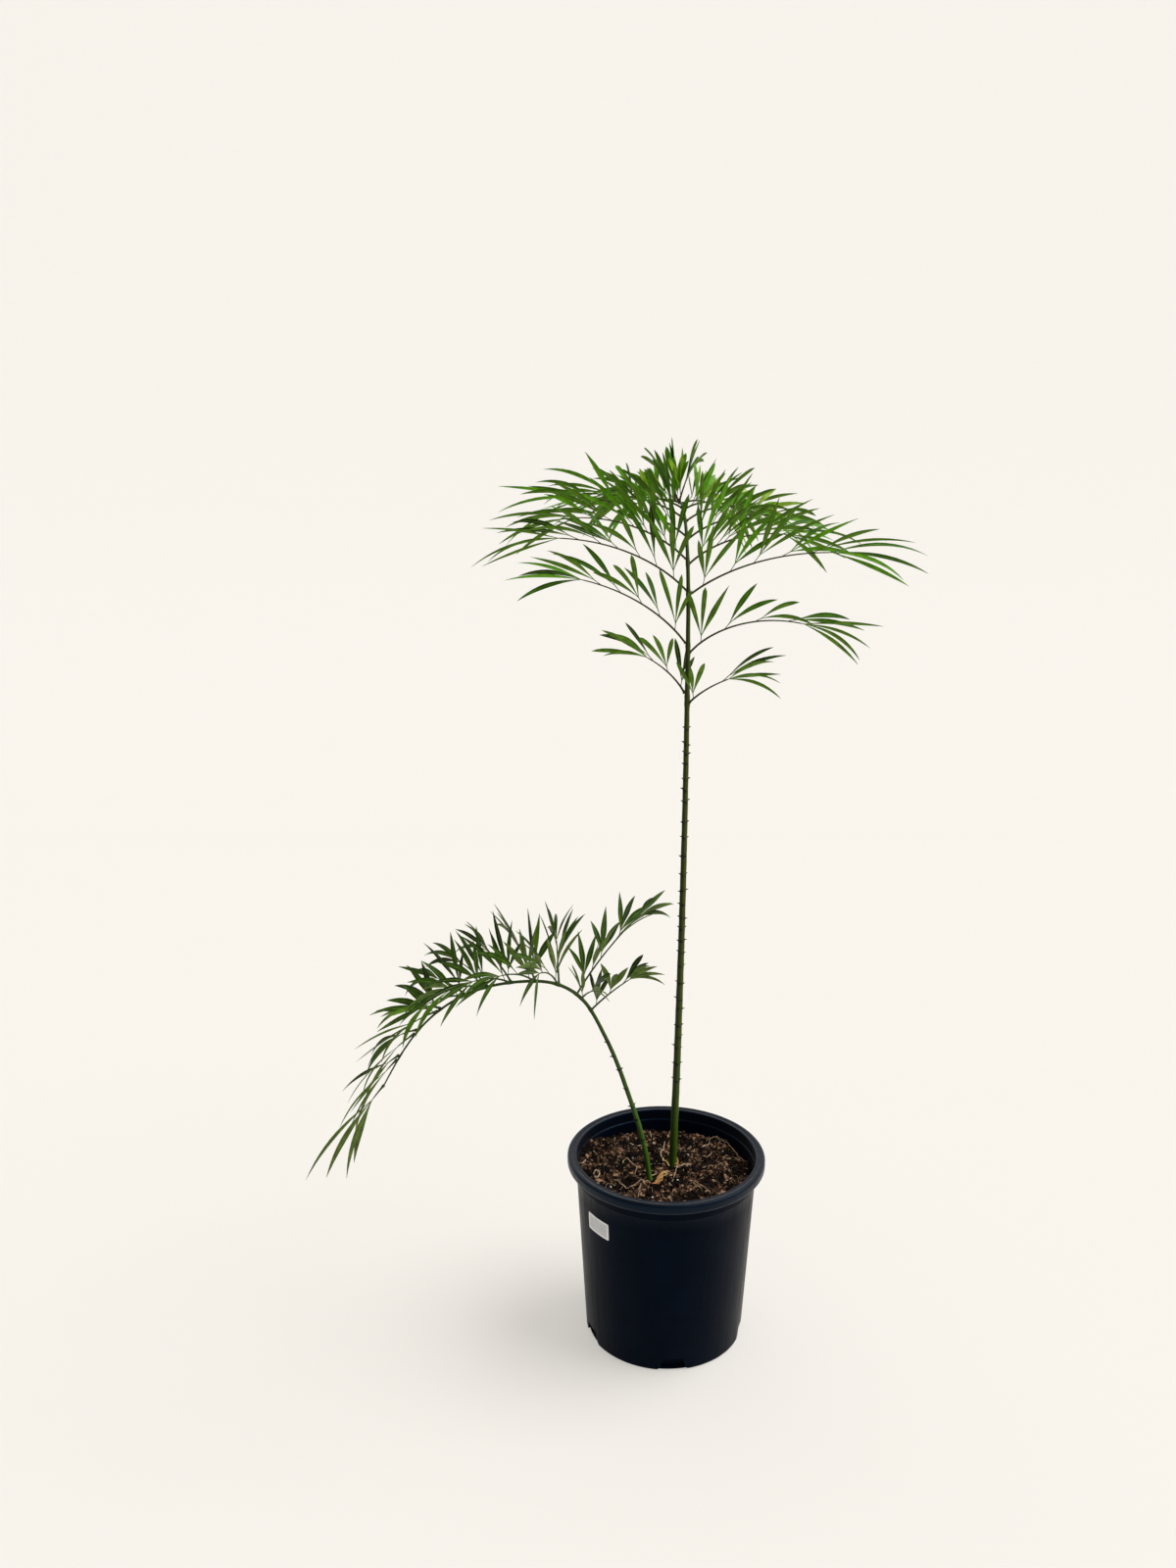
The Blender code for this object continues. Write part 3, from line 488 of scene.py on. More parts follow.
def pinnule_solid(pinnule):
    """Points and faces of a pinnule: its stalk widens into one end that all its leaflets share."""
    direction, face, fork = pinnule["direction"], pinnule["face"], pinnule["fork"]
    side = np.cross(face, direction)
    leaflets = sorted(pinnule["leaflets"], key=lambda leaflet: leaflet[1] @ side)
    count = len(leaflets)
    half = PINNULE_STALK_HALF_WIDTH
    root = pinnule["root"]
    points = [root - side * half, root + side * half, root - face * half * 1.2]
    points += [fork + side * (number - count / 2.0) * LEAFLET_FOOT for number in range(count + 1)]
    points += [fork + side * (number + 0.5 - count / 2.0) * LEAFLET_FOOT - face * half
               for number in range(count)]
    tops = list(range(3, 4 + count))
    keels = list(range(4 + count, 4 + 2 * count))
    faces = [(0, 1, 2), (0, *tops, 1), (1, tops[-1], keels[-1]), (1, keels[-1], 2), (0, 2, keels[0]),
             (0, keels[0], tops[0])]
    if count > 1:
        faces.append((2, *reversed(keels)))
    for number, leaflet in enumerate(leaflets):
        if number:
            faces.append((tops[number], keels[number - 1], keels[number]))
        first = len(points)
        points += leaflet_rings(leaflet)
        foot = (tops[number], tops[number + 1], keels[number])
        faces += leaflet_faces(foot, first, len(points) - 1)
    return np.array(points), faces


# ---- Space: no twig or leaflet may touch another --------------------------------------------


def claim(placed, family, solid):
    """Add a solid to what is placed."""
    points, faces = solid
    placed.append((points.min(axis=0), points.max(axis=0), BVHTree.FromPolygons(points.tolist(), faces),
                   family))


def is_free(placed, solid, ignored):
    """Whether a solid touches nothing that is placed, apart from the families ignored."""
    points, faces = solid
    low, high = points.min(axis=0), points.max(axis=0)
    near = [entry for entry in placed if entry[3] not in ignored
            and np.all(entry[0] <= high) and np.all(entry[1] >= low)]
    if not near:
        return True
    tree = BVHTree.FromPolygons(points.tolist(), faces)
    return not any(tree.overlap(entry[2]) for entry in near)


def grow_leaflets(rib, pinnule, index, placed):
    """The leaflets of one pinnule. One that touches something is tried again, then left out."""
    ignored = {(rib["name"], "rib")} if pinnule["last"] else set()
    grown = []
    for number in range(pinnule["count"]):
        for attempt in range(LEAFLET_TRIES):
            leaflet = grow_leaflet(rib, pinnule, index, number, attempt)
            if is_free(placed, leaflet_space(pinnule, leaflet), ignored):
                grown.append(leaflet)
                break
    return grown


def grow_pinnules(rib, placed, indices):
    """The pinnules of one pinna whose stalk, and at least one leaflet, has room."""
    name = rib["name"]
    pinnules = []
    for index in indices:
        pinnule = grow_pinnule(rib, index)
        ends = np.array([pinnule["root"], pinnule["fork"]])
        wide = prism(ends, [pinnule["direction"]] * 2, (PINNULE_STALK_HALF_WIDTH + LEAFLET_SPACE,) * 2)
        if not is_free(placed, wide, {(name, "rib")}):
            continue
        pinnule["leaflets"] = grow_leaflets(rib, pinnule, index, placed)
        if pinnule["leaflets"] and is_free(placed, pinnule_solid(pinnule), {(name, "rib")}):
            claim(placed, (name, index), pinnule_solid(pinnule))
            pinnules.append(pinnule)
    return pinnules


def grow_finer(rib, placed):
    """Pinnules halfway between those of the solids, on the inner part of all but the open pinnae."""
    if rib["name"].startswith(OPEN_PINNAE):
        return []
    halves = dict(rib, pinnules=2 * rib["pinnules"] - 1, seed=rib["seed"] + FINER_SEED,
                  leaflet=(FINER_LEAFLET * rib["leaflet"][0], FINER_LEAFLET * rib["leaflet"][1]))
    return grow_pinnules(halves, placed, range(1, round(FINER_REACH * halves["pinnules"]) + 1, 2))


def grow_plant():
    """The ribs of both fronds with their pinnules, clear of the limbs and of one another."""
    placed, ribs = [], []
    for stalk, rows, runs in ((TALL, TALL_PINNAE, TALL_RUNS), (ARCHING, ARCHING_PINNAE, ARCHING_RUNS)):
        curve = stalk_curve(stalk)
        for name, start, end, rings in stalk["limbs"]:
            cut = CLEARANCE / 2.0
            places = limb_places(curve, start + (cut if start else 0.0),
                                 end - (cut if end < stalk["length"] else 0.0), rings)
            points = np.array([on_stalk(curve, "points", place) for place in places])
            along = unit(np.array([on_stalk(curve, "along", place) for place in places]))
            if start == 0.0:
                points[0] -= along[0] * PLANTING_DEPTH
            claim(placed, name, prism(points, along, stalk_radius(stalk, places), STALK_SIDES))
        for row in pinna_rows(rows, runs):
            rib = grow_rib(curve, row)
            radii = np.linspace(*RIB_RADII, RIB_POINTS)
            skip = RIB_SKIP_LONG if rib["length"] > LONG_RIB else RIB_SKIP_SHORT
            claim(placed, (rib["name"], "rib"),
                  prism(rib["points"][::skip], rib["along"][::skip], radii[::skip]))
            ribs.append(rib)
    for rib in ribs:
        rib["grown"] = grow_pinnules(rib, placed, (rib["pinnules"], *range(rib["pinnules"])))
    for rib in ribs:
        rib["grown"] += grow_finer(rib, placed)
    return ribs


# ---- Surfaces -------------------------------------------------------------------------------


def arc(centre, radius, start, end, count=6):
    """Points on part of a circle in the section's plane: centre + radius (cos a, sin a)."""
    turns = np.radians(np.linspace(start, end, count))
    return np.stack([centre[0] + radius * np.cos(turns), centre[1] + radius * np.sin(turns)], axis=1)


def lathe(radius, height, steps):
    """A closed solid turned round Z: (r cos a, r sin a, z). Radius and height may differ from step
    to step. The first and last rows are single points on the axis."""
    turns = np.arange(steps) * FULL_TURN / steps
    rows = len(radius)
    radius = np.broadcast_to(np.reshape(radius, (rows, -1)), (rows, steps))
    height = np.broadcast_to(np.reshape(height, (rows, -1)), (rows, steps))
    grid = np.stack([radius * np.cos(turns), radius * np.sin(turns), height], axis=-1)
    points = np.vstack([grid[0, :1], grid[1:-1].reshape(-1, 3), grid[-1, :1]])
    index = 1 + np.arange((rows - 2) * steps).reshape(rows - 2, steps)
    after = np.roll(index, -1, axis=1)
    quads = np.stack([index[:-1], after[:-1], after[1:], index[1:]], axis=-1).reshape(-1, 4)
    low = np.stack([np.zeros(steps, int), after[0], index[0]], axis=-1)
    high = np.stack([index[-1], after[-1], np.full(steps, len(points) - 1)], axis=-1)
    return points, quads.tolist() + low.tolist() + high.tolist()


def frames(points, first):
    """Directions along a path, and a normal and a side at each point that don't twist round it."""
    along = unit(np.gradient(points, axis=0))
    normals = []
    normal = np.asarray(first, float)
    for direction in along:
        normal = unit(normal - (normal @ direction) * direction)
        normals.append(normal)
    normals = np.array(normals)
    return along, normals, np.cross(along, normals)


def tube(points, radii, around, first=(0.0, -1.0, 0.0)):
    """Rings round a path: p + r (cos a n + sin a s). Radii are one for each ring, or one for each
    point of each ring. Returns an array of rings, points of a ring, and coordinates."""
    _, normal, side = frames(points, first)
    turns = np.arange(around) * FULL_TURN / around
    radii = np.broadcast_to(np.reshape(radii, (len(points), -1)), (len(points), around))
    spoke = np.cos(turns)[None, :, None] * normal[:, None] + np.sin(turns)[None, :, None] * side[:, None]
    return points[:, None] + radii[..., None] * spoke


def grid_quads(index):
    """Quads between neighbouring rows and columns of a grid of point numbers."""
    return np.stack([index[:-1, :-1], index[:-1, 1:], index[1:, 1:], index[1:, :-1]], axis=-1).reshape(-1, 4)


def tube_faces(tubes, rings, around, offset=0):
    """Quads round each of many tubes of the same make, then a polygon over each end."""
    index = offset + np.arange(tubes * rings * around).reshape(tubes, rings, around)
    after = np.roll(index, -1, axis=2)
    quads = np.stack([index[:, :-1], after[:, :-1], after[:, 1:], index[:, 1:]], axis=-1).reshape(-1, 4)
    return quads.tolist() + index[:, 0, ::-1].tolist() + index[:, -1].tolist()


def tube_solid(points, radii, around, first):
    """The points and faces of one closed tube."""
    return tube(points, radii, around, first).reshape(-1, 3), tube_faces(1, len(points), around)


def gather(solids):
    """One set of points and faces from many."""
    points, faces, offset = [], [], 0
    for some, some_faces in solids:
        points.append(some)
        faces += [[number + offset for number in face] for face in some_faces]
        offset += len(some)
    return np.vstack(points), faces


def ripples(x, y, size, seed, waves=9):
    """A sum of level waves in random directions, with humps about the given size across."""
    random = np.random.default_rng(seed)
    total = np.zeros(np.broadcast(x, y).shape)
    for turn, phase, stretch in random.uniform((0.0, 0.0, 0.7), (FULL_TURN, FULL_TURN, 1.5), (waves, 3)):
        total += np.sin(stretch * np.pi / size * (x * np.cos(turn) + y * np.sin(turn)) + phase)
    return total / np.sqrt(waves)


def smooth_path(corners, count):
    """Points on a rounded path through the corners, by Catmull and Rom's cubic."""
    corners = np.asarray(corners, float)
    ends = np.vstack([2.0 * corners[0] - corners[1], corners, 2.0 * corners[-1] - corners[-2]])
    place = np.linspace(0.0, len(corners) - 1.000001, count)
    start = place.astype(int)
    t = (place - start)[:, None]
    a, b, c, d = (ends[start + step] for step in range(4))
    return 0.5 * (2.0 * b + (c - a) * t + (2.0 * a - 5.0 * b + 4.0 * c - d) * t ** 2
                  + (3.0 * b - a - 3.0 * c + d) * t ** 3)


# ---- Pieces ---------------------------------------------------------------------------------


def new_mesh(name, points, faces, materials, kinds=None, uv=None, sharp=40.0):
    """A smooth-shaded object. kinds gives each face its material, and uv each point its place."""
    mesh = bpy.data.meshes.new(name)
    mesh.from_pydata(np.asarray(points).tolist(), [], faces)
    for material in materials:
        mesh.materials.append(material)
    if kinds is not None:
        mesh.polygons.foreach_set("material_index", np.asarray(kinds, dtype=np.int32))
    if uv is not None:
        loops = np.empty(len(mesh.loops), dtype=np.int32)
        mesh.loops.foreach_get("vertex_index", loops)
        layer = mesh.uv_layers.new(name="surface")
        layer.data.foreach_set("uv", np.asarray(uv, dtype=np.float32)[loops].ravel())
    mesh.update()
    mesh.shade_smooth()
    mesh.set_sharp_from_angle(angle=np.radians(sharp))
    made = bpy.data.objects.new(name, mesh)
    bpy.context.scene.collection.objects.link(made)
    return made


def set_values(made, name, values):
    """A named number at each point of a mesh, for its material to read."""
    values = np.asarray(values, dtype=np.float32).ravel()
    made.data.attributes.new(name, "FLOAT", "POINT").data.foreach_set("value", values)


def keep(piece, slot, *nodes):
    """Let a piece ride on the plant and let it stand for the nodes. Its slot is not used."""
    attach(piece, "root")
    if nodes:
        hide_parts(*nodes)
    return piece


def apply_modifiers(made):
    """Replace an object's mesh by its evaluated one."""
    depsgraph = bpy.context.evaluated_depsgraph_get()
    mesh = bpy.data.meshes.new_from_object(made.evaluated_get(depsgraph))
    made.modifiers.clear()
    made.data = mesh


# ---- Materials ------------------------------------------------------------------------------


def linear(text):
    """Linear colour of an sRGB hex value."""
    values = [int(text[start:start + 2], 16) / 255.0 for start in (1, 3, 5)]
    return tuple(v / 12.92 if v <= 0.04045 else ((v + 0.055) / 1.055) ** 2.4 for v in values)


def per_millimetre(size):
    """A noise scale whose spots are about size millimetres across, on coordinates in metres."""
    return 1000.0 / size


def add_node(tree, kind, values=None, links=None, **settings):
    """Add a node with its settings, the values of its sockets, and links into them."""
    made = tree.nodes.new(kind)
    for key, value in settings.items():
        setattr(made, key, value)
    for key, value in (values or {}).items():
        made.inputs[key].default_value = value
    for key, source in (links or {}).items():
        tree.links.new(source, made.inputs[key])
    return made


def start_material(name, **sockets):
    """An empty Principled material, its tree and shader, with the given sockets set."""
    material = bpy.data.materials.new(name)
    material.use_nodes = True
    tree = material.node_tree
    shader = tree.nodes["Principled BSDF"]
    for key, value in sockets.items():
        shader.inputs[key.replace("_", " ")].default_value = value
    return material, tree, shader


def ramp(tree, source, stops):
    """Colours along a ramp, as (position, linear colour) pairs."""
    made = add_node(tree, "ShaderNodeValToRGB", links={"Fac": source})
    while len(made.color_ramp.elements) < len(stops):
        made.color_ramp.elements.new(0.5)
    for element, (position, colour) in zip(made.color_ramp.elements, stops):
        element.position = position
        element.color = (*colour, 1.0)
    return made.outputs["Color"]


def moulded_polypropylene(name, colour, roughness, gloss):
    """Injection-moulded black polypropylene: satin, faintly streaked down the draw, with dust, which
    shows as sheen where the wall turns away."""
    material, tree, shader = start_material(name, IOR=1.49, Specular_IOR_Level=gloss,
                                            Specular_Tint=(*linear("#7d9fc0"), 1.0), Sheen_Weight=0.07,
                                            Sheen_Roughness=0.35, Sheen_Tint=(*linear("#c9b79f"), 1.0))
    place = add_node(tree, "ShaderNodeTexCoord").outputs["Object"]
    dust = add_node(tree, "ShaderNodeTexNoise", {"Scale": per_millimetre(34.0), "Detail": 6.0,
                                                 "Roughness": 0.62}, {"Vector": place})
    stretched = add_node(tree, "ShaderNodeMapping", {"Scale": (1.0, 1.0, 0.06)}, {"Vector": place})
    streak = add_node(tree, "ShaderNodeTexNoise", {"Scale": per_millimetre(5.0), "Detail": 3.0},
                      {"Vector": stretched.outputs["Vector"]})
    grain = add_node(tree, "ShaderNodeTexNoise", {"Scale": per_millimetre(0.9), "Detail": 2.0},
                     {"Vector": place})
    tint = ramp(tree, dust.outputs["Fac"],
                ((0.35, colour), (0.75, tuple(1.5 * v + 0.0003 for v in colour))))
    tree.links.new(tint, shader.inputs["Base Color"])
    wear = add_node(tree, "ShaderNodeMapRange",
                    {"From Min": 0.35, "From Max": 0.7, "To Min": roughness - 0.06,
                     "To Max": roughness + 0.09}, {"Value": streak.outputs["Fac"]})
    tree.links.new(wear.outputs["Result"], shader.inputs["Roughness"])
    fine = add_node(tree, "ShaderNodeBump", {"Strength": 0.12, "Distance": 0.0002},
                    {"Height": grain.outputs["Fac"]})
    drawn = add_node(tree, "ShaderNodeBump", {"Strength": 0.22, "Distance": 0.0006},
                     {"Height": streak.outputs["Fac"], "Normal": fine.outputs["Normal"]})
    tree.links.new(drawn.outputs["Normal"], shader.inputs["Normal"])
    return material


def coated_paper(name, colour):
    """Coated label paper: smooth and slightly glossy, a little uneven from the wall behind it."""
    material, tree, shader = start_material(name, Roughness=0.42, IOR=1.5)
    place = add_node(tree, "ShaderNodeTexCoord").outputs["Object"]
    cloud = add_node(tree, "ShaderNodeTexNoise", {"Scale": per_millimetre(7.0), "Detail": 3.0},
                     {"Vector": place})
    tint = ramp(tree, cloud.outputs["Fac"], ((0.3, tuple(0.9 * v for v in colour)), (0.65, colour)))
    tree.links.new(tint, shader.inputs["Base Color"])
    bump = add_node(tree, "ShaderNodeBump", {"Strength": 0.2, "Distance": 0.0003},
                    {"Height": cloud.outputs["Fac"]})
    tree.links.new(bump.outputs["Normal"], shader.inputs["Normal"])
    return material


def crumbly(name, dark, light, roughness=0.95, grain=1.1):
    """Peat, bark or mineral crumbs: matt, mottled at the size of their grain, and rough."""
    material, tree, shader = start_material(name, Roughness=roughness, IOR=1.45, Specular_IOR_Level=0.12)
    place = add_node(tree, "ShaderNodeTexCoord").outputs["Object"]
    coarse = add_node(tree, "ShaderNodeTexNoise", {"Scale": per_millimetre(4.5 * grain), "Detail": 5.0,
                                                   "Roughness": 0.7}, {"Vector": place})
    fine = add_node(tree, "ShaderNodeTexNoise", {"Scale": per_millimetre(grain), "Detail": 4.0},
                    {"Vector": place})
    tint = ramp(tree, coarse.outputs["Fac"], ((0.34, dark), (0.66, light)))
    tree.links.new(tint, shader.inputs["Base Color"])
    bump = add_node(tree, "ShaderNodeBump", {"Strength": 0.8, "Distance": 0.0008},
                    {"Height": fine.outputs["Fac"]})
    tree.links.new(bump.outputs["Normal"], shader.inputs["Normal"])
    return material


def mixed_colour(tree, share, colour, other):
    """A colour output that runs from one socket's colour to a plain one as the share goes from 0 to 1."""
    mix = add_node(tree, "ShaderNodeMix", data_type="RGBA")
    tree.links.new(share, mix.inputs[0])
    tree.links.new(colour, mix.inputs[6])
    mix.inputs[7].default_value = (*other, 1.0)
    return mix.outputs[2]


def petiole_skin(name, stops, roughness=0.42):
    """Leaf-stalk skin: waxy, finely ribbed along its length, with brown flecks. Its green turns from
    fresh at the foot to olive higher up, as (height in metres, hex) stops, and it darkens by the
    mesh's own "dark" number: scars at the spines, and painted shade on the stalk's side away from
    the light."""
    material, tree, shader = start_material(name, Roughness=roughness, IOR=1.45, Specular_IOR_Level=0.14)
    place = add_node(tree, "ShaderNodeTexCoord").outputs["Object"]
    height = add_node(tree, "ShaderNodeSeparateXYZ", links={"Vector": place}).outputs["Z"]
    low, high = stops[0][0], stops[-1][0]
    share = add_node(tree, "ShaderNodeMapRange", {"From Min": low, "From Max": high}, {"Value": height})
    green = ramp(tree, share.outputs["Result"],
                 [((z - low) / (high - low), linear(text)) for z, text in stops])
    stretched = add_node(tree, "ShaderNodeMapping", {"Scale": (1.0, 1.0, 0.12)}, {"Vector": place})
    rib = add_node(tree, "ShaderNodeTexNoise", {"Scale": per_millimetre(0.9), "Detail": 3.0},
                   {"Vector": stretched.outputs["Vector"]})
    fleck = add_node(tree, "ShaderNodeTexNoise", {"Scale": per_millimetre(2.4), "Detail": 4.0,
                                                  "Roughness": 0.65}, {"Vector": place})
    brown = ramp(tree, fleck.outputs["Fac"], ((0.60, (0.0, 0.0, 0.0)), (0.74, (0.75, 0.75, 0.75))))
    flecked = mixed_colour(tree, brown, green, linear("#584726"))
    # The "dark" number mixes in a near-black: scars at the spines, and painted shade on the side away from
    # the light
    dark = add_node(tree, "ShaderNodeAttribute", attribute_name="dark").outputs["Fac"]
    tree.links.new(mixed_colour(tree, dark, flecked, linear("#12140a")), shader.inputs["Base Color"])
    bump = add_node(tree, "ShaderNodeBump", {"Strength": 0.35, "Distance": 0.0004},
                    {"Height": rib.outputs["Fac"]})
    tree.links.new(bump.outputs["Normal"], shader.inputs["Normal"])
    return material


def leaf_skin(name, colour, roughness=0.40, variation=0.28):
    """Leaflet skin: leathery with a thin wax, uneven in tone over a centimetre, with fine veins that
    run along the blade, drawn coarser than life so that they show."""
    material, tree, shader = start_material(name, Roughness=roughness, IOR=1.45, Specular_IOR_Level=0.11)
    coords = add_node(tree, "ShaderNodeTexCoord")
    cloud = add_node(tree, "ShaderNodeTexNoise", {"Scale": per_millimetre(11.0), "Detail": 3.0},
                     {"Vector": coords.outputs["Object"]})
    tint = ramp(tree, cloud.outputs["Fac"], ((0.33, tuple((1.0 - variation) * v for v in colour)),
                                             (0.67, tuple((1.0 + variation) * v for v in colour))))
    tree.links.new(tint, shader.inputs["Base Color"])
    stretched = add_node(tree, "ShaderNodeMapping", {"Scale": (14.0, 0.6, 1.0)},
                         {"Vector": coords.outputs["UV"]})
    vein = add_node(tree, "ShaderNodeTexNoise", {"Scale": 1.0, "Detail": 2.0},
                    {"Vector": stretched.outputs["Vector"]})
    bump = add_node(tree, "ShaderNodeBump", {"Strength": 0.5, "Distance": 0.0004},
                    {"Height": vein.outputs["Fac"]})
    tree.links.new(bump.outputs["Normal"], shader.inputs["Normal"])
    return material


# ---- Pot ------------------------------------------------------------------------------------


def wall_radius(height):
    """The pot wall's outer radius."""
    return WALL_FOOT_RADIUS + WALL_TAPER * height


def pot_profile():
    """The pot's section: straight runs and quarter rounds from the middle of the underside, up the
    wall, over the shoulder and the rolled rim, and down inside to the middle of the base."""
    lip = POT_HEIGHT - RIM_DROP
    band = wall_radius(BAND_BOTTOM) + BAND_STEP
    inner = wall_radius(BAND_BOTTOM) - WALL_THICKNESS
    foot_inner = wall_radius(BASE_THICKNESS) - WALL_THICKNESS
    wall = np.linspace(0.0045, BAND_BOTTOM - 0.0005, 14)
    roll_in = RIM_RADIUS - RIM_ROLL
    runs = [
        [(0.0, 0.0), (0.050, 0.0), (0.080, 0.0), (0.090, 0.0)],
        arc((WALL_FOOT_RADIUS - 0.0028, 0.0030), 0.0030, -90.0, -4.0),
        np.stack([wall_radius(wall), wall], axis=1),
        arc((band - 0.0010, BAND_BOTTOM + 0.0016), 0.0010, -70.0, 0.0, 4),
        [(band + 0.0003, lip - 0.0022)],
        arc((band + 0.0021, lip - 0.0018), 0.0018, 180.0, 90.0, 5),
        arc((roll_in, lip + RIM_ROLL), RIM_ROLL, -84.0, 0.0, 7),
        arc((roll_in, POT_HEIGHT - RIM_ROLL), RIM_ROLL, 6.0, 88.0, 7),
        [(0.1206, POT_HEIGHT), (0.1192, POT_HEIGHT - 0.0002), (0.1180, POT_HEIGHT - 0.0007),
         (0.1160, POT_HEIGHT - 0.0006)],
        arc((MOUTH_RADIUS + 0.0013, POT_HEIGHT - 0.0016), 0.0013, 80.0, 180.0),
        [(MOUTH_RADIUS - 0.0002, BAND_BOTTOM + 0.0150), (MOUTH_RADIUS - 0.0012, BAND_BOTTOM + 0.0138),
         (inner + 0.0004, BAND_BOTTOM + 0.0132), (inner + 0.0002, BAND_BOTTOM + 0.0118)],
        np.stack([wall_radius(wall[::-1]) - WALL_THICKNESS, wall[::-1]], axis=1)[:-1],
        arc((foot_inner - 0.0020, BASE_THICKNESS + 0.0020), 0.0020, 0.0, -90.0),
        [(0.085, BASE_THICKNESS), (0.050, BASE_THICKNESS), (0.0, BASE_THICKNESS)],
    ]
    return np.vstack(runs)


def notch_cutter(index):
    """A drainage notch: its half width is the top's plus a flare that fades upwards as exp(-height),
    with rounded corners, and it runs straight in through the corner of wall and base."""
    height = np.linspace(-0.0005, NOTCH_HEIGHT - NOTCH_ROUNDING, 9)
    half = NOTCH_TOP_HALF + NOTCH_FLARE * np.exp(-height / NOTCH_FLARE_HEIGHT)
    top = arc((half[-1] - NOTCH_ROUNDING, NOTCH_HEIGHT - NOTCH_ROUNDING), NOTCH_ROUNDING, 8.0, 90.0, 6)
    right = np.vstack([np.stack([half, height], axis=1), top])
    section = np.vstack([right, right[::-1] * (-1.0, 1.0)])
    turn = NOTCH_FIRST_ANGLE + index * FULL_TURN / NOTCHES
    outward, sideways = (np.array([np.cos(turn), np.sin(turn), 0.0]),
                         np.array([-np.sin(turn), np.cos(turn), 0.0]))
    flat = section[:, :1] * sideways + section[:, 1:] * UP
    points = np.vstack([flat + outward * NOTCH_INNER_RADIUS, flat + outward * (WALL_FOOT_RADIUS + 0.012)])
    count = len(section)
    faces = [list(range(count))[::-1], list(range(count, 2 * count))]
    faces += [[low, (low + 1) % count, count + (low + 1) % count, count + low] for low in range(count)]
    return points, faces


def build_pot(settings):
    """The turned pot with its drainage notches cut out, and the foot ring that stands behind them,
    whose toe covers the floor inside them as painted shadow.
    """
    profile = pot_profile()
    plastic, polished = (moulded_polypropylene(name, tuple(settings.plastic), settings.roughness, gloss)
                         for name, gloss in (("moulded black polypropylene", WALL_GLOSS),
                                             ("moulded black polypropylene, rubbed rim", RIM_GLOSS)))
    pot = new_mesh("pot_shell", *lathe(profile[:, 0], profile[:, 1], POT_STEPS), [plastic, polished])
    points, faces = gather([notch_cutter(index) for index in range(NOTCHES)])
    cutter = new_mesh("notch_cutters", points, faces, [])
    cut = pot.modifiers.new("notches", "BOOLEAN")
    cut.object = cutter
    cut.operation = "DIFFERENCE"
    cut.solver = "EXACT"
    apply_modifiers(pot)
    bpy.data.objects.remove(cutter, do_unlink=True)
    centres = np.empty(3 * len(pot.data.polygons))
    pot.data.polygons.foreach_get("center", centres)
    rubbed = centres[2::3] > POT_HEIGHT - RIM_DROP - RUBBED_BELOW_RIM
    pot.data.polygons.foreach_set("material_index", rubbed.astype(np.int32))
    pot.data.shade_smooth()
    pot.data.set_sharp_from_angle(angle=SHARP_POT_ANGLE)
    keep(pot, "pot_plastic", "pot")
    # Painted shadow: the ring's toe reaches out over the floor inside the notches, where the pot's contact
    # shadow falls
    shadow_toe, top = FOOT_RING_RADIUS + FOOT_RING_SHADOW_TOE, NOTCH_HEIGHT + FOOT_RING_OVER_NOTCH
    ring = np.array([(0.0, 0.0006), (shadow_toe, 0.0006), (shadow_toe, 0.0022), (FOOT_RING_RADIUS, 0.0050),
                     (FOOT_RING_RADIUS, top), (0.0, top)])
    keep(new_mesh("pot_foot_ring_and_notch_shadow", *lathe(ring[:, 0], ring[:, 1], POT_STEPS), [plastic]), "pot_plastic")


def build_label(settings):
    """A bare label wrapped on the wall: a sheet on a grid of (arc length, height), with rounded
    corners, a white border and a pale grey field, thick enough to have an edge."""
    width, height = settings.label_width, settings.label_height
    across, up = np.meshgrid(np.linspace(-0.5, 0.5, 41), np.linspace(-0.5, 0.5, 27))
    corner = LABEL_CORNER
    x, z = across * width, up * height
    over_x, over_z = np.abs(x) - (width / 2 - corner), np.abs(z) - (height / 2 - corner)
    outside = np.hypot(np.maximum(over_x, 0.0), np.maximum(over_z, 0.0))
    pull = np.where((over_x > 0) & (over_z > 0) & (outside > corner),
                    corner / np.maximum(outside, 1e-9), 1.0)
    x = np.where(over_x > 0, np.sign(x) * (width / 2 - corner + over_x * pull), x)
    z = np.where(over_z > 0, np.sign(z) * (height / 2 - corner + over_z * pull), z)
    x, z = x * np.cos(LABEL_TILT) - z * np.sin(LABEL_TILT), x * np.sin(LABEL_TILT) + z * np.cos(LABEL_TILT)
    level = LABEL_HEIGHT + z
    lift = LABEL_LIFT + LABEL_RIPPLE * ripples(x, z, 0.012, 5)
    sheets = []
    for proud in (0.0, LABEL_THICKNESS):
        radius = wall_radius(level) + lift + proud
        turn = LABEL_AZIMUTH + x / radius
        sheets.append(np.stack([radius * np.cos(turn), radius * np.sin(turn), level], axis=-1))
    index = np.arange(across.size).reshape(across.shape)
    quads = grid_quads(index)
    front = quads + index.size
    edge = np.concatenate([index[0], index[1:, -1], index[-1, -2::-1], index[-2:0:-1, 0]])
    after = np.roll(edge, -1)
    skirt = np.stack([edge, after, after + index.size, edge + index.size], axis=-1)
    faces = quads[:, ::-1].tolist() + front.tolist() + skirt.tolist()
    middle = ((np.abs(across[:-1, :-1] - FIELD_MIDDLE[0]) < FIELD_HALF[0])
              & (np.abs(up[:-1, :-1] - FIELD_MIDDLE[1]) < FIELD_HALF[1]))
    kinds = np.zeros(len(faces), int)
    kinds[len(quads):2 * len(quads)] = middle.ravel()
    label = new_mesh("pot_label", np.vstack([sheet.reshape(-1, 3) for sheet in sheets]), faces,
                     [coated_paper("coated label paper", linear("#f0f0ef")),
                      coated_paper("printed grey label field", linear("#cfd0d3"))], kinds)
    keep(label, "pot_plastic")


# ---- Potting mix ----------------------------------------------------------------------------


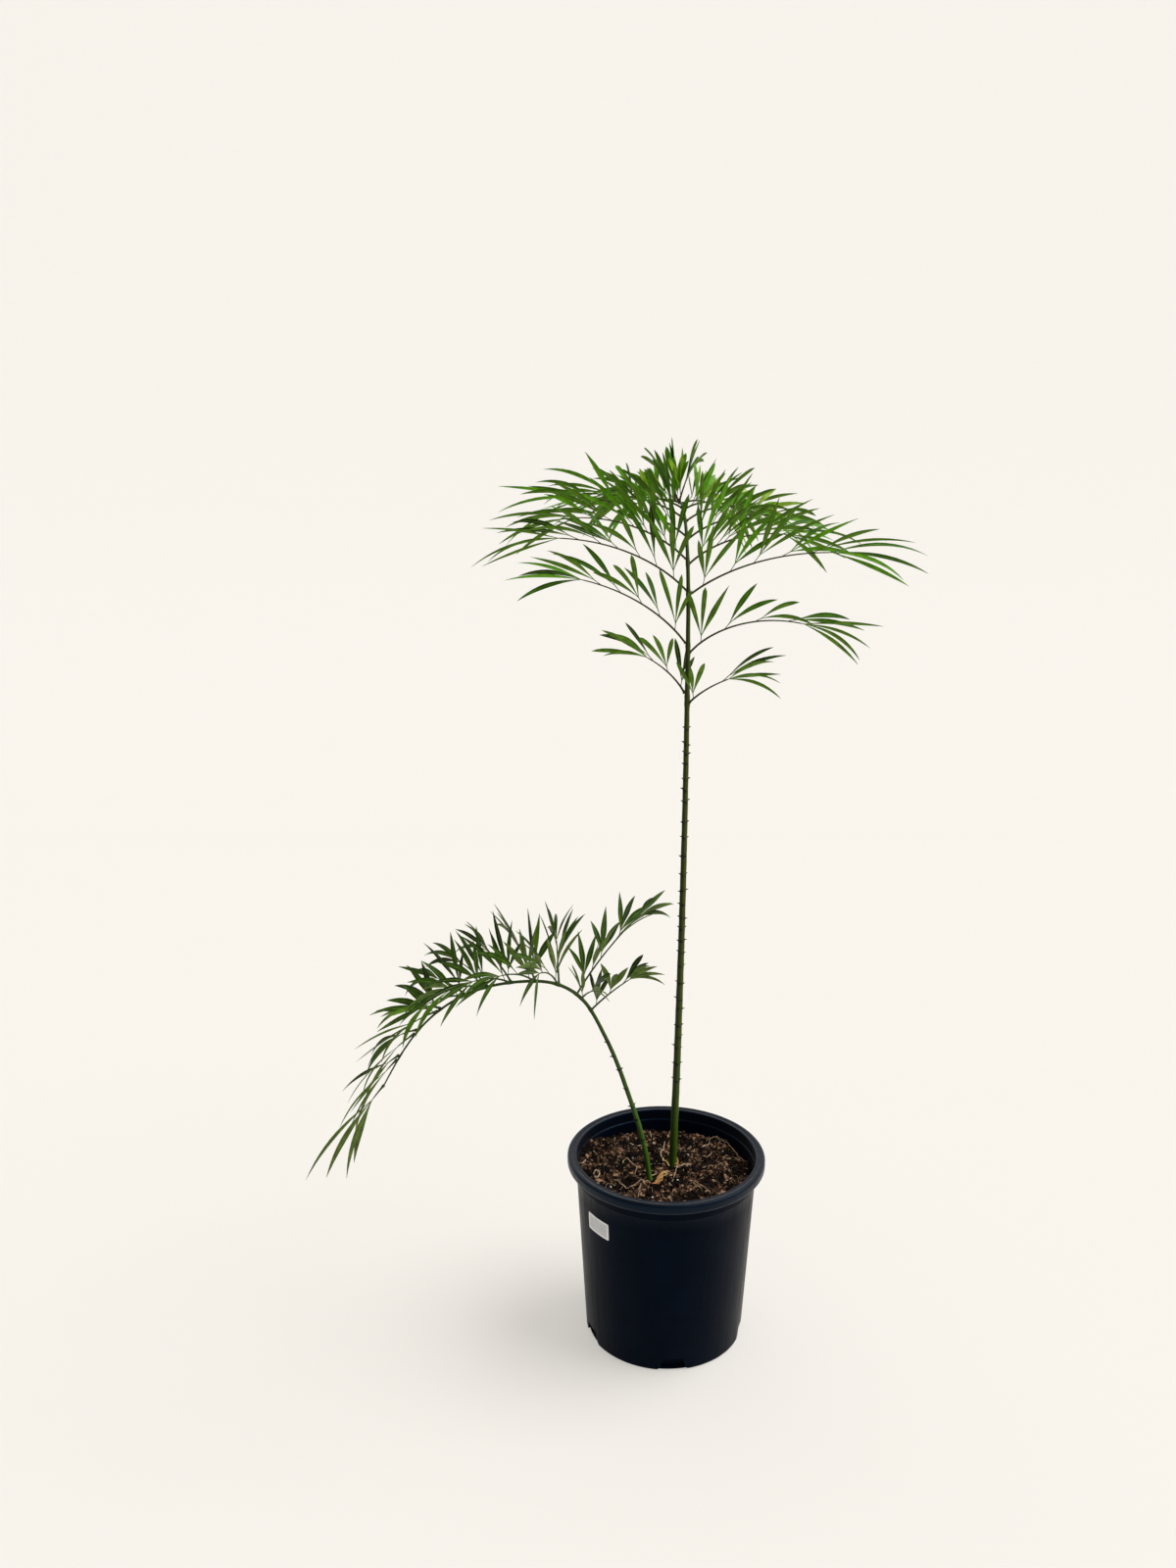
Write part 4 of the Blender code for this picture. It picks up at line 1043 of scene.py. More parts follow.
def mix_height(x, y):
    """The height of the potting mix: a low mound with a rise to the left, lower at the back, with
    lumps of four sizes."""
    away = np.hypot(x, y) / MOUTH_RADIUS
    mound = MIX_MOUND * (1.0 - away ** 2)
    rise = MIX_LEFT_RISE * ease((-x / MOUTH_RADIUS - 0.35) / 0.6)
    hollow = -0.004 * ease((y / MOUTH_RADIUS - 0.35) / 0.55) - 0.002 * ease((x / MOUTH_RADIUS - 0.5) / 0.5)
    lumps = sum(amount * ripples(x, y, size, seed) for amount, size, seed in MIX_LUMPS)
    return MIX_HEIGHT + mound + rise + hollow + lumps


def crumbs(count, size, stretch, seed, reach, liking):
    """Small lumps that lie half sunk on the mix: an icosahedron of 20 faces, dented at random, made
    long by the stretch, and turned at random. They like or shun the same light patches of the mix.
    Returns points and faces."""
    random = np.random.default_rng(seed)
    golden = (1.0 + 5.0 ** 0.5) / 2.0
    corners = np.array([(-1, golden, 0), (1, golden, 0), (-1, -golden, 0), (1, -golden, 0),
                        (0, -1, golden), (0, 1, golden), (0, -1, -golden), (0, 1, -golden),
                        (golden, 0, -1), (golden, 0, 1), (-golden, 0, -1), (-golden, 0, 1)]) / 1.9021
    sides = np.array([(0, 11, 5), (0, 5, 1), (0, 1, 7), (0, 7, 10), (0, 10, 11), (1, 5, 9), (5, 11, 4),
                      (11, 10, 2), (10, 7, 6), (7, 1, 8), (3, 9, 4), (3, 4, 2), (3, 2, 6), (3, 6, 8),
                      (3, 8, 9), (4, 9, 5), (2, 4, 11), (6, 2, 10), (8, 6, 7), (9, 8, 1)])
    away = reach * np.sqrt(random.uniform(0.0, 1.0, 2 * count))
    turn = random.uniform(0.0, FULL_TURN, 2 * count)
    x, y = away * np.cos(turn), away * np.sin(turn)
    best = np.argsort(liking * ripples(x, y, 0.020, 40) + random.normal(0.0, 0.5, 2 * count))[count:]
    x, y = x[best], y[best]
    half = 0.5 * size * np.exp(np.clip(random.normal(0.0, 0.55, count), -1.2, 0.75))
    shape = corners[None] * random.uniform(0.62, 1.25, (count, 12, 1))
    shape = shape * (np.array(stretch) * random.uniform(0.75, 1.3, (count, 3)))[:, None]
    spin, tip = random.uniform(0.0, FULL_TURN, count), random.normal(0.0, 0.35, count)
    c, s, ct, st = np.cos(spin), np.sin(spin), np.cos(tip), np.sin(tip)
    zero = np.zeros(count)
    rotate = np.stack([np.stack([c * ct, -s, c * st], -1), np.stack([s * ct, c, s * st], -1),
                       np.stack([-st, zero, ct], -1)], axis=1)
    shape = np.einsum("nij,nkj->nki", rotate, shape) * half[:, None, None]
    middle = np.stack([x, y, mix_height(x, y) + 0.35 * half * stretch[2]], axis=-1)
    faces = (sides[None] + 12 * np.arange(count)[:, None, None]).reshape(-1, 3)
    return (middle[:, None] + shape).reshape(-1, 3), faces.tolist()


def build_mix(settings):
    """The filling of the pot, turned round Z with its top at the mix's height, and crumbs on it."""
    edge = wall_radius(MIX_HEIGHT) - WALL_THICKNESS - CLEARANCE
    turns = np.arange(MIX_STEPS) * FULL_TURN / MIX_STEPS
    radii = edge * np.linspace(1.0, 0.0, MIX_RINGS)[:, None] * np.ones(MIX_STEPS)
    tops = mix_height(radii * np.cos(turns), radii * np.sin(turns))
    base = BASE_THICKNESS + CLEARANCE
    low = [*MIX_BASE_RADII, *(wall_radius(height) - WALL_THICKNESS - 1.5 * CLEARANCE
                              for height in MIX_SIDE_HEIGHTS)]
    heights = [base] * len(MIX_BASE_RADII) + list(MIX_SIDE_HEIGHTS)
    sections = np.repeat([low, heights], MIX_STEPS, axis=1).reshape(2, -1, MIX_STEPS)
    radii[0] = wall_radius(tops[0]) - WALL_THICKNESS - CLEARANCE
    surface = lathe(np.vstack([sections[0], radii]), np.vstack([sections[1], tops]), MIX_STEPS)
    # The fill's near-black is partly peat's own tone and partly painted shade in the gaps between the crumbs
    fill = new_mesh("mix_fill", *surface, [crumbly("composted bark and peat, with painted gap shade", linear("#080605"),
                                                   linear("#2d2019"))], sharp=180.0)
    keep(fill, "potting_mix", "potting_mix")
    solids, kinds, materials = [], [], []
    for number, (name, dark, light, (part, whole), size, stretch, roughness, liking) in enumerate(GRADES):
        solids.append(crumbs(settings.crumb_count * part // whole, size * settings.crumb_size, stretch,
                             CRUMB_SEED + number, edge - CRUMBS_FROM_WALL, liking))
        kinds += [number] * len(solids[-1][1])
        materials.append(crumbly(name, linear(dark), linear(light), roughness, 0.8))
    points, faces = gather(solids)
    keep(new_mesh("mix_crumbs", points, faces, materials, kinds, sharp=30.0), "potting_mix")


# Loose roots and straws on the mix: corners of the path as (x, y, height over the mix), radius at
# its start and end, all in millimetres
LOOSE_ROOTS = (
    (((3.1, 65.6, 3.5), (0.5, 54.0, 2.0), (-0.4, 42.4, 1.4), (-4.6, 32.0, 1.6), (-4.4, 22.2, 0.6)),
     0.45, 0.75),
    (((-54.4, 9.0, 0.4), (-53.0, 13.0, 2.2), (-46.8, 12.8, 3.4), (-39.3, 4.4, 2.6), (-37.2, -5.9, 1.4),
      (-40.3, -12.2, 0.3)), 0.60, 0.45),
    (((-66.5, -32.5, 0.4), (-57.0, -41.0, 1.8), (-48.4, -45.2, 1.6), (-39.0, -41.0, 1.2),
      (-30.7, -38.2, 1.8), (-20.8, -40.5, 0.6)), 0.45, 0.60),
    (((13.9, -2.5, 0.6), (19.0, -1.5, 2.4), (24.3, 1.4, 3.2), (33.2, 5.9, 3.0)), 0.55, 0.95),
    (((16.5, 4.4, 1.0), (12.0, -9.0, 2.6), (10.0, -19.9, 1.8), (6.2, -30.8, 0.4)), 0.55, 0.40),
    (((57.1, 57.8, 0.6), (62.0, 70.0, 3.0), (68.2, 79.8, 5.0), (77.0, 77.0, 5.5), (85.9, 72.5, 4.8)),
     0.35, 0.35),
    (((70.0, 80.0, 4.0), (86.0, 57.8, 4.6), (97.0, 36.0, 3.2), (103.0, 22.0, 1.5)), 0.35, 0.30),
    (((84.0, 70.0, 4.6), (88.5, 75.0, 6.4), (87.0, 82.0, 7.0)), 0.30, 0.30),
    (((-92.5, -30.1, 0.6), (-88.4, -27.2, 2.0), (-84.6, -31.0, 2.4), (-86.6, -37.2, 1.6),
      (-91.2, -36.6, 0.8)), 0.90, 0.70),
    (((-38.1, -73.5, 0.3), (-37.0, -66.0, 2.0), (-33.8, -55.4, 0.4)), 0.40, 0.30),
    (((-8.0, -62.0, 0.4), (-3.0, -70.0, 1.8), (4.0, -74.0, 0.6)), 0.35, 0.30),
    (((28.0, -38.0, 0.4), (36.0, -46.0, 2.2), (47.0, -50.0, 1.2), (52.0, -60.0, 0.4)), 0.40, 0.30),
    (((44.0, 20.0, 0.4), (56.0, 25.0, 2.0), (62.0, 36.0, 1.0)), 0.40, 0.30),
    (((-30.0, 44.0, 0.4), (-22.0, 53.0, 2.2), (-26.0, 63.0, 0.8)), 0.45, 0.30),
)
# Torn bark strips and dry scales: start and end (x, y), height over the mix at both, width, all in
# millimetres, then how far the strip bows up, and its material
FOOT_STRIPS = (
    ((-20.5, -44.5), (-1.0, -18.0), 1.2, 4.2, 4.6, 2.5, 0),
    ((-17.5, -42.0), (3.0, -17.0), 2.2, 5.4, 2.2, 2.0, 1),
    ((-13.0, -41.5), (-3.5, -22.0), 1.0, 3.0, 3.0, 1.2, 0),
    ((-12.0, -33.0), (2.5, -11.0), 1.4, 5.6, 1.8, 1.6, 1),
    ((-2.4, 21.0), (3.2, -4.5), 1.0, 6.5, 3.6, 2.5, 1),
    ((12.5, -1.0), (15.5, 9.5), 1.0, 8.0, 2.4, 1.2, 0),
    ((-28.5, -30.0), (-24.5, -24.5), 0.6, 6.5, 2.8, 0.8, 0),
)


def build_roots(settings):
    """Loose roots as round tubes on smooth paths over the mix, strips of torn bark at the stalks'
    feet as folded ribbons, and short seeded fibres all over."""
    solids, kinds = [], []
    for corners, start, end in LOOSE_ROOTS:
        path = smooth_path(np.array(corners) / 1000.0, ROOT_RINGS)
        path[:, 2] += mix_height(path[:, 0], path[:, 1]) + ROOTS_OVER_CRUMBS
        knots = 1.0 + 0.16 * np.sin(np.arange(ROOT_RINGS) * 1.9 + start * 40.0)
        solids.append(tube_solid(path, np.linspace(start, end, ROOT_RINGS) / 1000.0 * knots, 8, UP))
        kinds += [2] * len(solids[-1][1])
    for start, end, low, high, width, bow, kind in FOOT_STRIPS:
        solids.append(strip(np.array(start) / 1000.0, np.array(end) / 1000.0, low / 1000.0, high / 1000.0,
                            width / 1000.0, bow / 1000.0))
        kinds += [kind] * len(solids[-1][1])
    random = np.random.default_rng(31)
    for number in range(settings.fibre_count):
        away, turn = FIBRE_REACH * np.sqrt(random.uniform()), random.uniform(0.0, FULL_TURN)
        heading, length = random.uniform(0.0, FULL_TURN), random.uniform(0.004, 0.014)
        curl = random.uniform(-2.6, 2.6) * np.linspace(0.0, 1.0, FIBRE_RINGS)
        step = length / (FIBRE_RINGS - 1) * np.stack([np.cos(heading + curl), np.sin(heading + curl)], axis=1)
        level = np.array([away * np.cos(turn), away * np.sin(turn)]) + np.cumsum(step, axis=0)
        level *= np.minimum(1.0, FIBRE_LIMIT / np.linalg.norm(level, axis=1))[:, None]
        lift = 0.0006 + random.uniform(0.0004, 0.0022) * np.sin(np.linspace(0.0, np.pi, FIBRE_RINGS))
        path = np.column_stack([level, mix_height(level[:, 0], level[:, 1]) + lift])
        solids.append(tube_solid(path, np.full(FIBRE_RINGS, random.uniform(0.00010, 0.00024)), 5, UP))
        kinds += [3 if number % 3 else 2] * len(solids[-1][1])
    points, faces = gather(solids)
    materials = [crumbly("torn cinnamon bark", linear("#96602f"), linear("#d09a62"), 0.8, 0.7),
                 crumbly("dry papery scale", linear("#a98a52"), linear("#d6bd84"), 0.75, 0.8),
                 crumbly("dry root", linear("#b0916f"), linear("#dfc9aa"), 0.75, 0.7),
                 crumbly("dark root hair", linear("#4e3526"), linear("#7e5b40"), 0.85, 0.7)]
    keep(new_mesh("loose_roots", points, faces, materials, kinds, sharp=50.0), "potting_mix")


def strip(start, end, low, high, width, bow):
    """A torn strip on a grid of (length, width): a straight run with a bow, folded along its middle,
    with ragged narrowing ends, made a closed solid of even thickness."""
    share = np.linspace(0.0, 1.0, STRIP_RINGS)
    level = start + (end - start) * share[:, None]
    sideways = np.array([-(end - start)[1], (end - start)[0]]) / np.linalg.norm(end - start)
    level = level + sideways * (0.0012 * np.sin(share * 5.0 + width * 900.0))[:, None]
    height = mix_height(level[:, 0], level[:, 1]) + ROOTS_OVER_CRUMBS
    height = height + between((low, high), share) + bow * np.sin(np.pi * share)
    path = np.column_stack([level, height])
    _, normal, side = frames(path, UP)
    ragged = np.random.default_rng(int(width * 1e6)).uniform(0.85, 1.12, STRIP_RINGS)
    half = width / 2.0 * np.clip(np.sin(np.pi * np.clip(share, 0.03, 0.97)), 0.0, 1.0) ** 0.45 * ragged
    across = np.array([1.0, 0.5, 0.0, -0.5, -1.0, -0.5, 0.0, 0.5])
    fold = np.array([-0.55, -0.12, 0.0, -0.12, -0.55, -0.12, 0.0, -0.12])
    depth = np.repeat([0.0, -STRIP_THICKNESS], (5, 3))
    rings = (path[:, None] + side[:, None] * (across[None] * half[:, None])[..., None]
             + normal[:, None] * (fold[None] * half[:, None] + depth[None])[..., None])
    return rings[:, ::-1].reshape(-1, 3), tube_faces(1, STRIP_RINGS, 8)


# ---- Fronds ---------------------------------------------------------------------------------


def stalk_surface(stalk, places_of_pinnae, around=20):
    """A stalk: rings along its curve, ribbed lengthwise, a little swollen at its foot and at each
    pinna, and uneven by less than a tenth of a millimetre."""
    curve = stalk_curve(stalk, STALK_RINGS)
    places, points = curve["places"], curve["points"].copy()
    radius = stalk_radius(stalk, places)
    for place in places_of_pinnae:
        near = np.exp(-((places - place - 0.001) / JOINT_LENGTH) ** 2)
        radius = radius + JOINT_SWELLING * stalk_radius(stalk, place) * near
    radius = radius * (1.0 + 0.10 * np.exp(-places / 0.006))
    turns = np.arange(around) * FULL_TURN / around
    ribs = 0.028 * np.cos(5.0 * turns[None] + 0.9 * np.sin(places[:, None] * 21.0))
    dents = 0.020 * np.sin(places[:, None] * 210.0 + 2.0 * np.cos(turns[None] + places[:, None] * 40.0))
    tip = np.clip((stalk["length"] - places) / 0.002, 0.25, 1.0)
    rings = tube(points, (radius * tip)[:, None] * (1.0 + ribs + dents), around, (1.0, 0.0, 0.0))
    rings[0] = rings[0] - UP * 0.006
    return rings.reshape(-1, 3), tube_faces(1, len(places), around), curve


def spine_places(first, last, spacing, seed):
    """Where along a stalk its pairs of spines stand, at a seeded spacing."""
    random = np.random.default_rng(seed)
    steps = spacing * random.uniform(0.6, 1.35, int((last - first) / (0.6 * spacing)))
    places = first + np.cumsum(steps)
    return places[places < last]


def scars_and_painted_shade(curve, rings, places):
    """How dark a stalk's skin is, from 0 to 1: a scar round it at each pair of spines, broken by the
    turn, and painted shade on the side away from the window light."""
    outward = unit(rings - curve["points"][:, None])
    # Painted shade: the skin darkens on its -X side, away from the window light
    shade = 0.72 * ease(0.44 - 1.15 * outward[..., 0])
    scars = np.zeros_like(shade)
    for number, place in enumerate(places):
        near = np.exp(-((curve["places"] - place) / SCAR_LENGTH) ** 2)[:, None]
        scars += near * (0.60 + 0.40 * np.sin(3.0 * outward[..., 0] + 2.0 * number))
    return np.clip(shade + scars, 0.0, 1.0)


def spines(curve, places, seed, height):
    """Small spines on both sides of a stalk: cones of six faces that lean a little upwards, in loose
    pairs. Returns points and faces."""
    random = np.random.default_rng(seed)
    solids = []
    for place in places:
        along, point = unit(on_stalk(curve, "along", place)), on_stalk(curve, "points", place)
        across = unit(curve["across"] if abs(curve["across"][0]) > 0.5 else np.cross(along, curve["across"]))
        for hand in (-1.0, 1.0):
            if random.uniform() < 0.18:
                continue
            shift = random.uniform(-0.0022, 0.0022)
            outward = unit(hand * across + random.uniform(-0.5, 0.5) * np.cross(along, across) + 0.30 * along)
            base = point + along * shift + outward * stalk_radius(curve["stalk"], place) * 0.75
            tall = height * random.uniform(0.7, 1.25) + stalk_radius(curve["stalk"], place) * 0.25
            path = base + np.outer(np.linspace(0.0, 1.0, 4), outward * tall)
            solids.append(tube_solid(path, np.array([0.95, 0.52, 0.24, 0.05]) * height * 0.62, 6, along))
    return gather(solids)


def rib_surface(rib):
    """A pinna's midrib: a round tube that starts inside the stalk, swells at its joint, and tapers."""
    start = rib["points"][0] - rib["along"][0] * rib["gap"]
    path = smooth_path(np.vstack([start, rib["points"]]), RIB_RINGS)
    share = np.linspace(0.0, 1.0, RIB_RINGS)
    radii = between((0.00135, 0.00068), share) + 0.0008 * np.exp(-(share * rib["length"] / 0.0045) ** 2)
    return tube(path, radii, RIB_AROUND).reshape(-1, 3)


def pinnule_stalk(pinnule):
    """The short stalk of a pinnule, from inside its rib to just past its fork."""
    root, fork = pinnule["root"], pinnule["fork"] + pinnule["direction"] * 0.0006
    path = root + np.linspace(0.0, 1.0, 5)[:, None] * (fork - root)
    return tube(path, np.array([0.00072, 0.00050, 0.00046, 0.00050, 0.00062]), 6).reshape(-1, 3)


def leaflet_outline(share, blunt):
    """Half of the outline of a leaflet of width 2, one row a leaflet. It widens from a narrow root and
    runs out to a sharp tip, or if it is blunt it stays wide and ends round, like a finger."""
    blunt = blunt[:, None]
    rise = 0.11 + 0.89 * np.sin(0.5 * np.pi * np.clip(share / (0.50 + 0.22 * blunt), 0.0, 1.0)) ** 1.7
    fall = np.sin(0.5 * np.pi * np.clip((1.0 - share) / (0.62 - 0.46 * blunt), 0.0, 1.0))
    return np.minimum(rise, fall ** (0.95 - 0.40 * blunt))


def leaflet_blades(leaflets, settings):
    """Closed blades, all as one array: the midrib line turns down by its droop times share ** 1.3, the
    two halves rise from it by the fold and curve back at the margin, the midrib stands out above
    and below, and each blade twists and bends sideways a little."""
    fork, heading, face, length, width, turn, twist, sickle, blunt = (
        np.array(column) for column in zip(*leaflets))
    share = np.linspace(0.0, 1.0, BLADE_STATIONS)
    level = unit(heading * np.array([1.0, 1.0, 0.0]))
    pitch = np.arcsin(heading[:, 2])[:, None] - turn[:, None] * share ** 1.3
    along = np.cos(pitch)[..., None] * level[:, None] + np.sin(pitch)[..., None] * UP
    steps = 0.5 * (along[:, 1:] + along[:, :-1]) * (length / (BLADE_STATIONS - 1))[:, None, None]
    line = np.concatenate([np.zeros((len(length), 1, 3)), np.cumsum(steps, axis=1)], axis=1) + fork[:, None]
    upper = face[:, None] - np.sum(face[:, None] * along, axis=-1, keepdims=True) * along
    upper = unit(upper)
    side = np.cross(upper, along)
    line = line + side * (sickle * length)[:, None, None] * (share ** 2)[None, :, None]
    angle = (twist[:, None] * share)[..., None]
    normal = np.cos(angle) * upper + np.sin(angle) * side
    side = np.cos(angle) * side - np.sin(angle) * upper
    wide = settings.leaflet_width * width[:, None] / 2.0
    half = np.maximum(leaflet_outline(share, blunt) * wide, BLADE_TIP)
    rib = np.clip(MIDRIB_HALF_WIDTH * (1.0 - 0.6 * share)[None] / half, 0.02, 0.45)
    ones, tan = np.ones_like(rib), np.tan(settings.leaflet_fold)
    across = np.stack([ones, 0.55 * ones, rib, -rib, -0.55 * ones, -ones, -rib, rib], axis=-1)
    rise = tan * (np.abs(across) - 0.42 * np.abs(across) ** 2.5) * half[..., None]
    thick = settings.leaflet_thickness * np.minimum(1.0, half / 0.0012)
    ridge = MIDRIB_RIDGE * (1.0 - 0.7 * share)[None] * ones
    keel = MIDRIB_KEEL * (1.0 - 0.6 * share)[None] * ones
    small = np.minimum(1.0, half / 0.0008)
    zero = np.zeros_like(rib)
    depth = np.stack([zero, zero, ridge * small, ridge * small, zero, zero,
                      -thick - keel * small, -thick - keel * small], axis=-1)
    blades = (line[:, :, None] + side[:, :, None] * (across * half[..., None])[..., None]
              + normal[:, :, None] * (rise + depth)[..., None])
    uv = np.stack([0.5 + 0.5 * across, np.broadcast_to(share[None, :, None] * length[:, None, None] * 20.0,
                                                       across.shape)], axis=-1)
    return blades, uv


def shade_of(rib, leaflet_seed, tall):
    """Which of its frond's greens a leaflet takes, from the deepest on, dealt out by spray. The tall
    frond freshens towards its tip, and on its right, where the window light falls, it takes paler
    greens as painted light; the arching one stays deep."""
    spray = np.random.default_rng((rib["seed"], 999)).normal(0.0, 0.35)
    own = np.random.default_rng(leaflet_seed).normal(0.0, 0.40)
    if tall:
        up = np.clip((rib["place"] - TALL["first_pinna"]) / 0.30, 0.0, 1.0)
        # The term for the right side is painted light: paler greens where the window light falls
        return int(np.clip(round(0.35 + 1.9 * up + 0.9 * up * (rib["side"] > 0) + spray + own), 0, 3))
    return int(np.clip(round(0.6 + spray + own), 0, 2))


def blade_width(rib, pinnule, length, blunt, look, tall):
    """The width of a blade against the rule's leaflet: less where it is blunt or long, by the kind of
    its fan, and on the tall frond more towards the top."""
    kind = 2 if rib["name"].endswith("pinna_end") else int(pinnule["last"])
    share = (1.0 - BLUNT_NARROWING * blunt) * min(SLIM_BLADE / length, SHORT_WIDENING) * look["widths"][kind]
    top = ease((rib["place"] - TOP_PLACES[0]) / TOP_PLACES[1])
    return share * (TOP_WIDTH[0] + TOP_WIDTH[1] * top) if tall else share


def build_frond(settings, stalk, rows, ribs, name, nodes, look, tall):
    """One frond: its stalk, its ribs with the pinnules' stalks, and its leaflets."""
    places = {row[0]: (row[1], row[2]) for row in rows}
    mine = [rib for rib in ribs if rib["name"] in places]
    for rib in mine:
        rib["place"], rib["side"] = places[rib["name"]]
        rib["gap"] = 0.8 * stalk_radius(stalk, rib["place"])
    points, faces, curve = stalk_surface(stalk, sorted({rib["place"] for rib in mine}))
    skin = petiole_skin(f"waxy petiole skin, {name}", look["stalk"])
    piece = new_mesh(f"{name}_stalk", points, faces, [skin])
    spined = spine_places(*look["spines"])
    # Scars at the spines and painted shade on the side away from the window light, as the skin's "dark"
    # number
    set_values(piece, "dark", scars_and_painted_shade(curve, points.reshape(len(curve["places"]), -1, 3), spined))
    keep(piece, "stalks", *(limb[0] for limb in stalk["limbs"]))
    cork = crumbly(f"corky spine, {name}", linear("#1a190a"), linear("#3a3216"), 0.6, 1.2)
    points, faces = spines(curve, spined, look["spines"][-1], SPINE_HEIGHT)
    keep(new_mesh(f"{name}_spines", points, faces, [cork], sharp=60.0), "stalks")
    rib_points = np.array([rib_surface(rib) for rib in mine])
    stalk_points = np.array([pinnule_stalk(pinnule) for rib in mine for pinnule in rib["grown"]])
    points, faces = gather([(rib_points.reshape(-1, 3), tube_faces(len(rib_points), RIB_RINGS, RIB_AROUND)),
                            (stalk_points.reshape(-1, 3), tube_faces(len(stalk_points), 5, 6))])
    wood = petiole_skin(f"rib skin, {name}", look["ribs"], 0.5)
    keep(new_mesh(f"{name}_ribs", points, faces, [wood], sharp=60.0), "stalks")
    leaflets, shades = [], []
    for rib in mine:
        for number, pinnule in enumerate(rib["grown"]):
            for blade, (fork, direction, face, length, width, turn) in enumerate(pinnule["leaflets"]):
                seed = (rib["seed"], 77, number, blade)
                random = np.random.default_rng(seed)
                blunt = random.uniform(*((0.25, 1.0) if length < look["blunt"] else (0.0, 0.25)))
                width *= blade_width(rib, pinnule, length, blunt, look, tall)
                leaflets.append((fork, direction, face, BLADE_LENGTH * length, width, turn * look["turn"],
                                 random.normal(0.0, settings.leaflet_twist),
                                 random.normal(0.0, look["sickle"]), blunt))
                shades.append(shade_of(rib, seed, tall))
    blades, uv = leaflet_blades(leaflets, settings)
    count, stations, around = blades.shape[:3]
    greens = leaf_greens(settings, tall)
    kinds = leaflet_kinds(np.array(shades), stations, around, len(greens) - 2)
    piece = new_mesh(f"{name}_leaflets", blades.reshape(-1, 3), tube_faces(count, stations, around), greens,
                     kinds, uv.reshape(-1, 2), 50.0)
    keep(piece, "leaflets", *nodes)


def leaf_greens(settings, tall):
    """A frond's greens from the deepest on, then the paler back of its leaflets and their midrib."""
    if tall:
        return [leaf_skin("leaflet, deep green", tuple(settings.deep_green)),
                leaf_skin("leaflet, mid green", tuple(settings.mid_green)),
                leaf_skin("leaflet, fresh green", tuple(settings.fresh_green)),
                leaf_skin("leaflet, yellow green", tuple(settings.yellow_green)),
                leaf_skin("leaflet back, light green", tuple(settings.leaflet_back), 0.55),
                leaf_skin("leaflet midrib, pale green", linear("#74993a"), 0.5)]
    return [leaf_skin("leaflet, blue green", tuple(settings.shade_green)),
            leaf_skin("leaflet, shaded mid green", linear("#355412")),
            leaf_skin("leaflet, shaded fresh green", linear("#567f1a")),
            leaf_skin("leaflet back, grey green", linear("#5c7134"), 0.55),
            leaf_skin("leaflet midrib, grey green", linear("#728a3e"), 0.5)]


def leaflet_kinds(shades, stations, around, greens):
    """Material numbers of the blades' faces: the leaflet's own green above, the back below, and the
    midrib's strips."""
    quads = np.repeat(np.repeat(shades[:, None, None], stations - 1, axis=1), around, axis=2)
    quads[:, :, 5:] = greens
    quads[:, :, (2, 6)] = greens + 1
    return np.concatenate([quads.ravel(), shades, shades])


# ---- Settings -------------------------------------------------------------------------------


class CycadPotSettings(bpy.types.PropertyGroup):
    """Sizes and colours of the pot and its label."""
    plastic: FloatVectorProperty(name="Plastic", description="Colour of the pot", subtype="COLOR",
                                 default=linear("#030a17"), min=0.0, max=1.0)
    roughness: FloatProperty(name="Roughness", description="How matt the plastic is", default=0.38,
                             min=0.15, max=0.9)
    label_width: FloatProperty(name="Label width", description="Width of the bare label", default=0.038,
                               unit="LENGTH")
    label_height: FloatProperty(name="Label height", description="Height of the bare label", default=0.023,
                                unit="LENGTH")


class CycadMixSettings(bpy.types.PropertyGroup):
    """How coarse the potting mix is."""
    crumb_count: IntProperty(name="Crumbs", description="Number of the commonest crumbs", default=4200,
                             min=200, max=6000)
    crumb_size: FloatProperty(name="Crumb size", description="Size against the usual crumb", default=0.86,
                              subtype="FACTOR", min=0.5, max=2.0)
    fibre_count: IntProperty(name="Fibres", description="Number of short fibres on the mix", default=300,
                             min=0, max=900)


class CycadFrondSettings(bpy.types.PropertyGroup):
    """Shape and colours of the leaflets."""
    leaflet_width: FloatProperty(name="Leaflet width", description="Width against the solid leaflets",
                                 default=1.18, subtype="FACTOR", min=0.6, max=1.6)
    leaflet_thickness: FloatProperty(name="Leaflet thickness", description="Thickness of a blade",
                                     default=0.00040, unit="LENGTH")
    leaflet_fold: FloatProperty(name="Leaflet fold", description="How far each half rises from the midrib",
                                default=np.radians(23.0), subtype="ANGLE")
    leaflet_twist: FloatProperty(name="Leaflet twist", description="Usual twist from root to tip",
                                 default=np.radians(16.0), subtype="ANGLE")
    deep_green: FloatVectorProperty(name="Deep green", description="Oldest leaflets", subtype="COLOR",
                                    default=linear("#233d05"), min=0.0, max=1.0)
    mid_green: FloatVectorProperty(name="Mid green", description="Most leaflets", subtype="COLOR",
                                   default=linear("#3a6908"), min=0.0, max=1.0)
    fresh_green: FloatVectorProperty(name="Fresh green", description="Leaflets near the tip",
                                     subtype="COLOR", default=linear("#5e9d0c"), min=0.0, max=1.0)
    yellow_green: FloatVectorProperty(name="Yellow green", description="Palest leaflets",
                                      subtype="COLOR", default=linear("#8eb22e"), min=0.0, max=1.0)
    leaflet_back: FloatVectorProperty(name="Leaflet back", description="Backs of the leaflets",
                                      subtype="COLOR", default=linear("#53791c"), min=0.0, max=1.0)
    shade_green: FloatVectorProperty(name="Shade green", description="Leaflets of the arching frond",
                                     subtype="COLOR", default=linear("#23370b"), min=0.0, max=1.0)


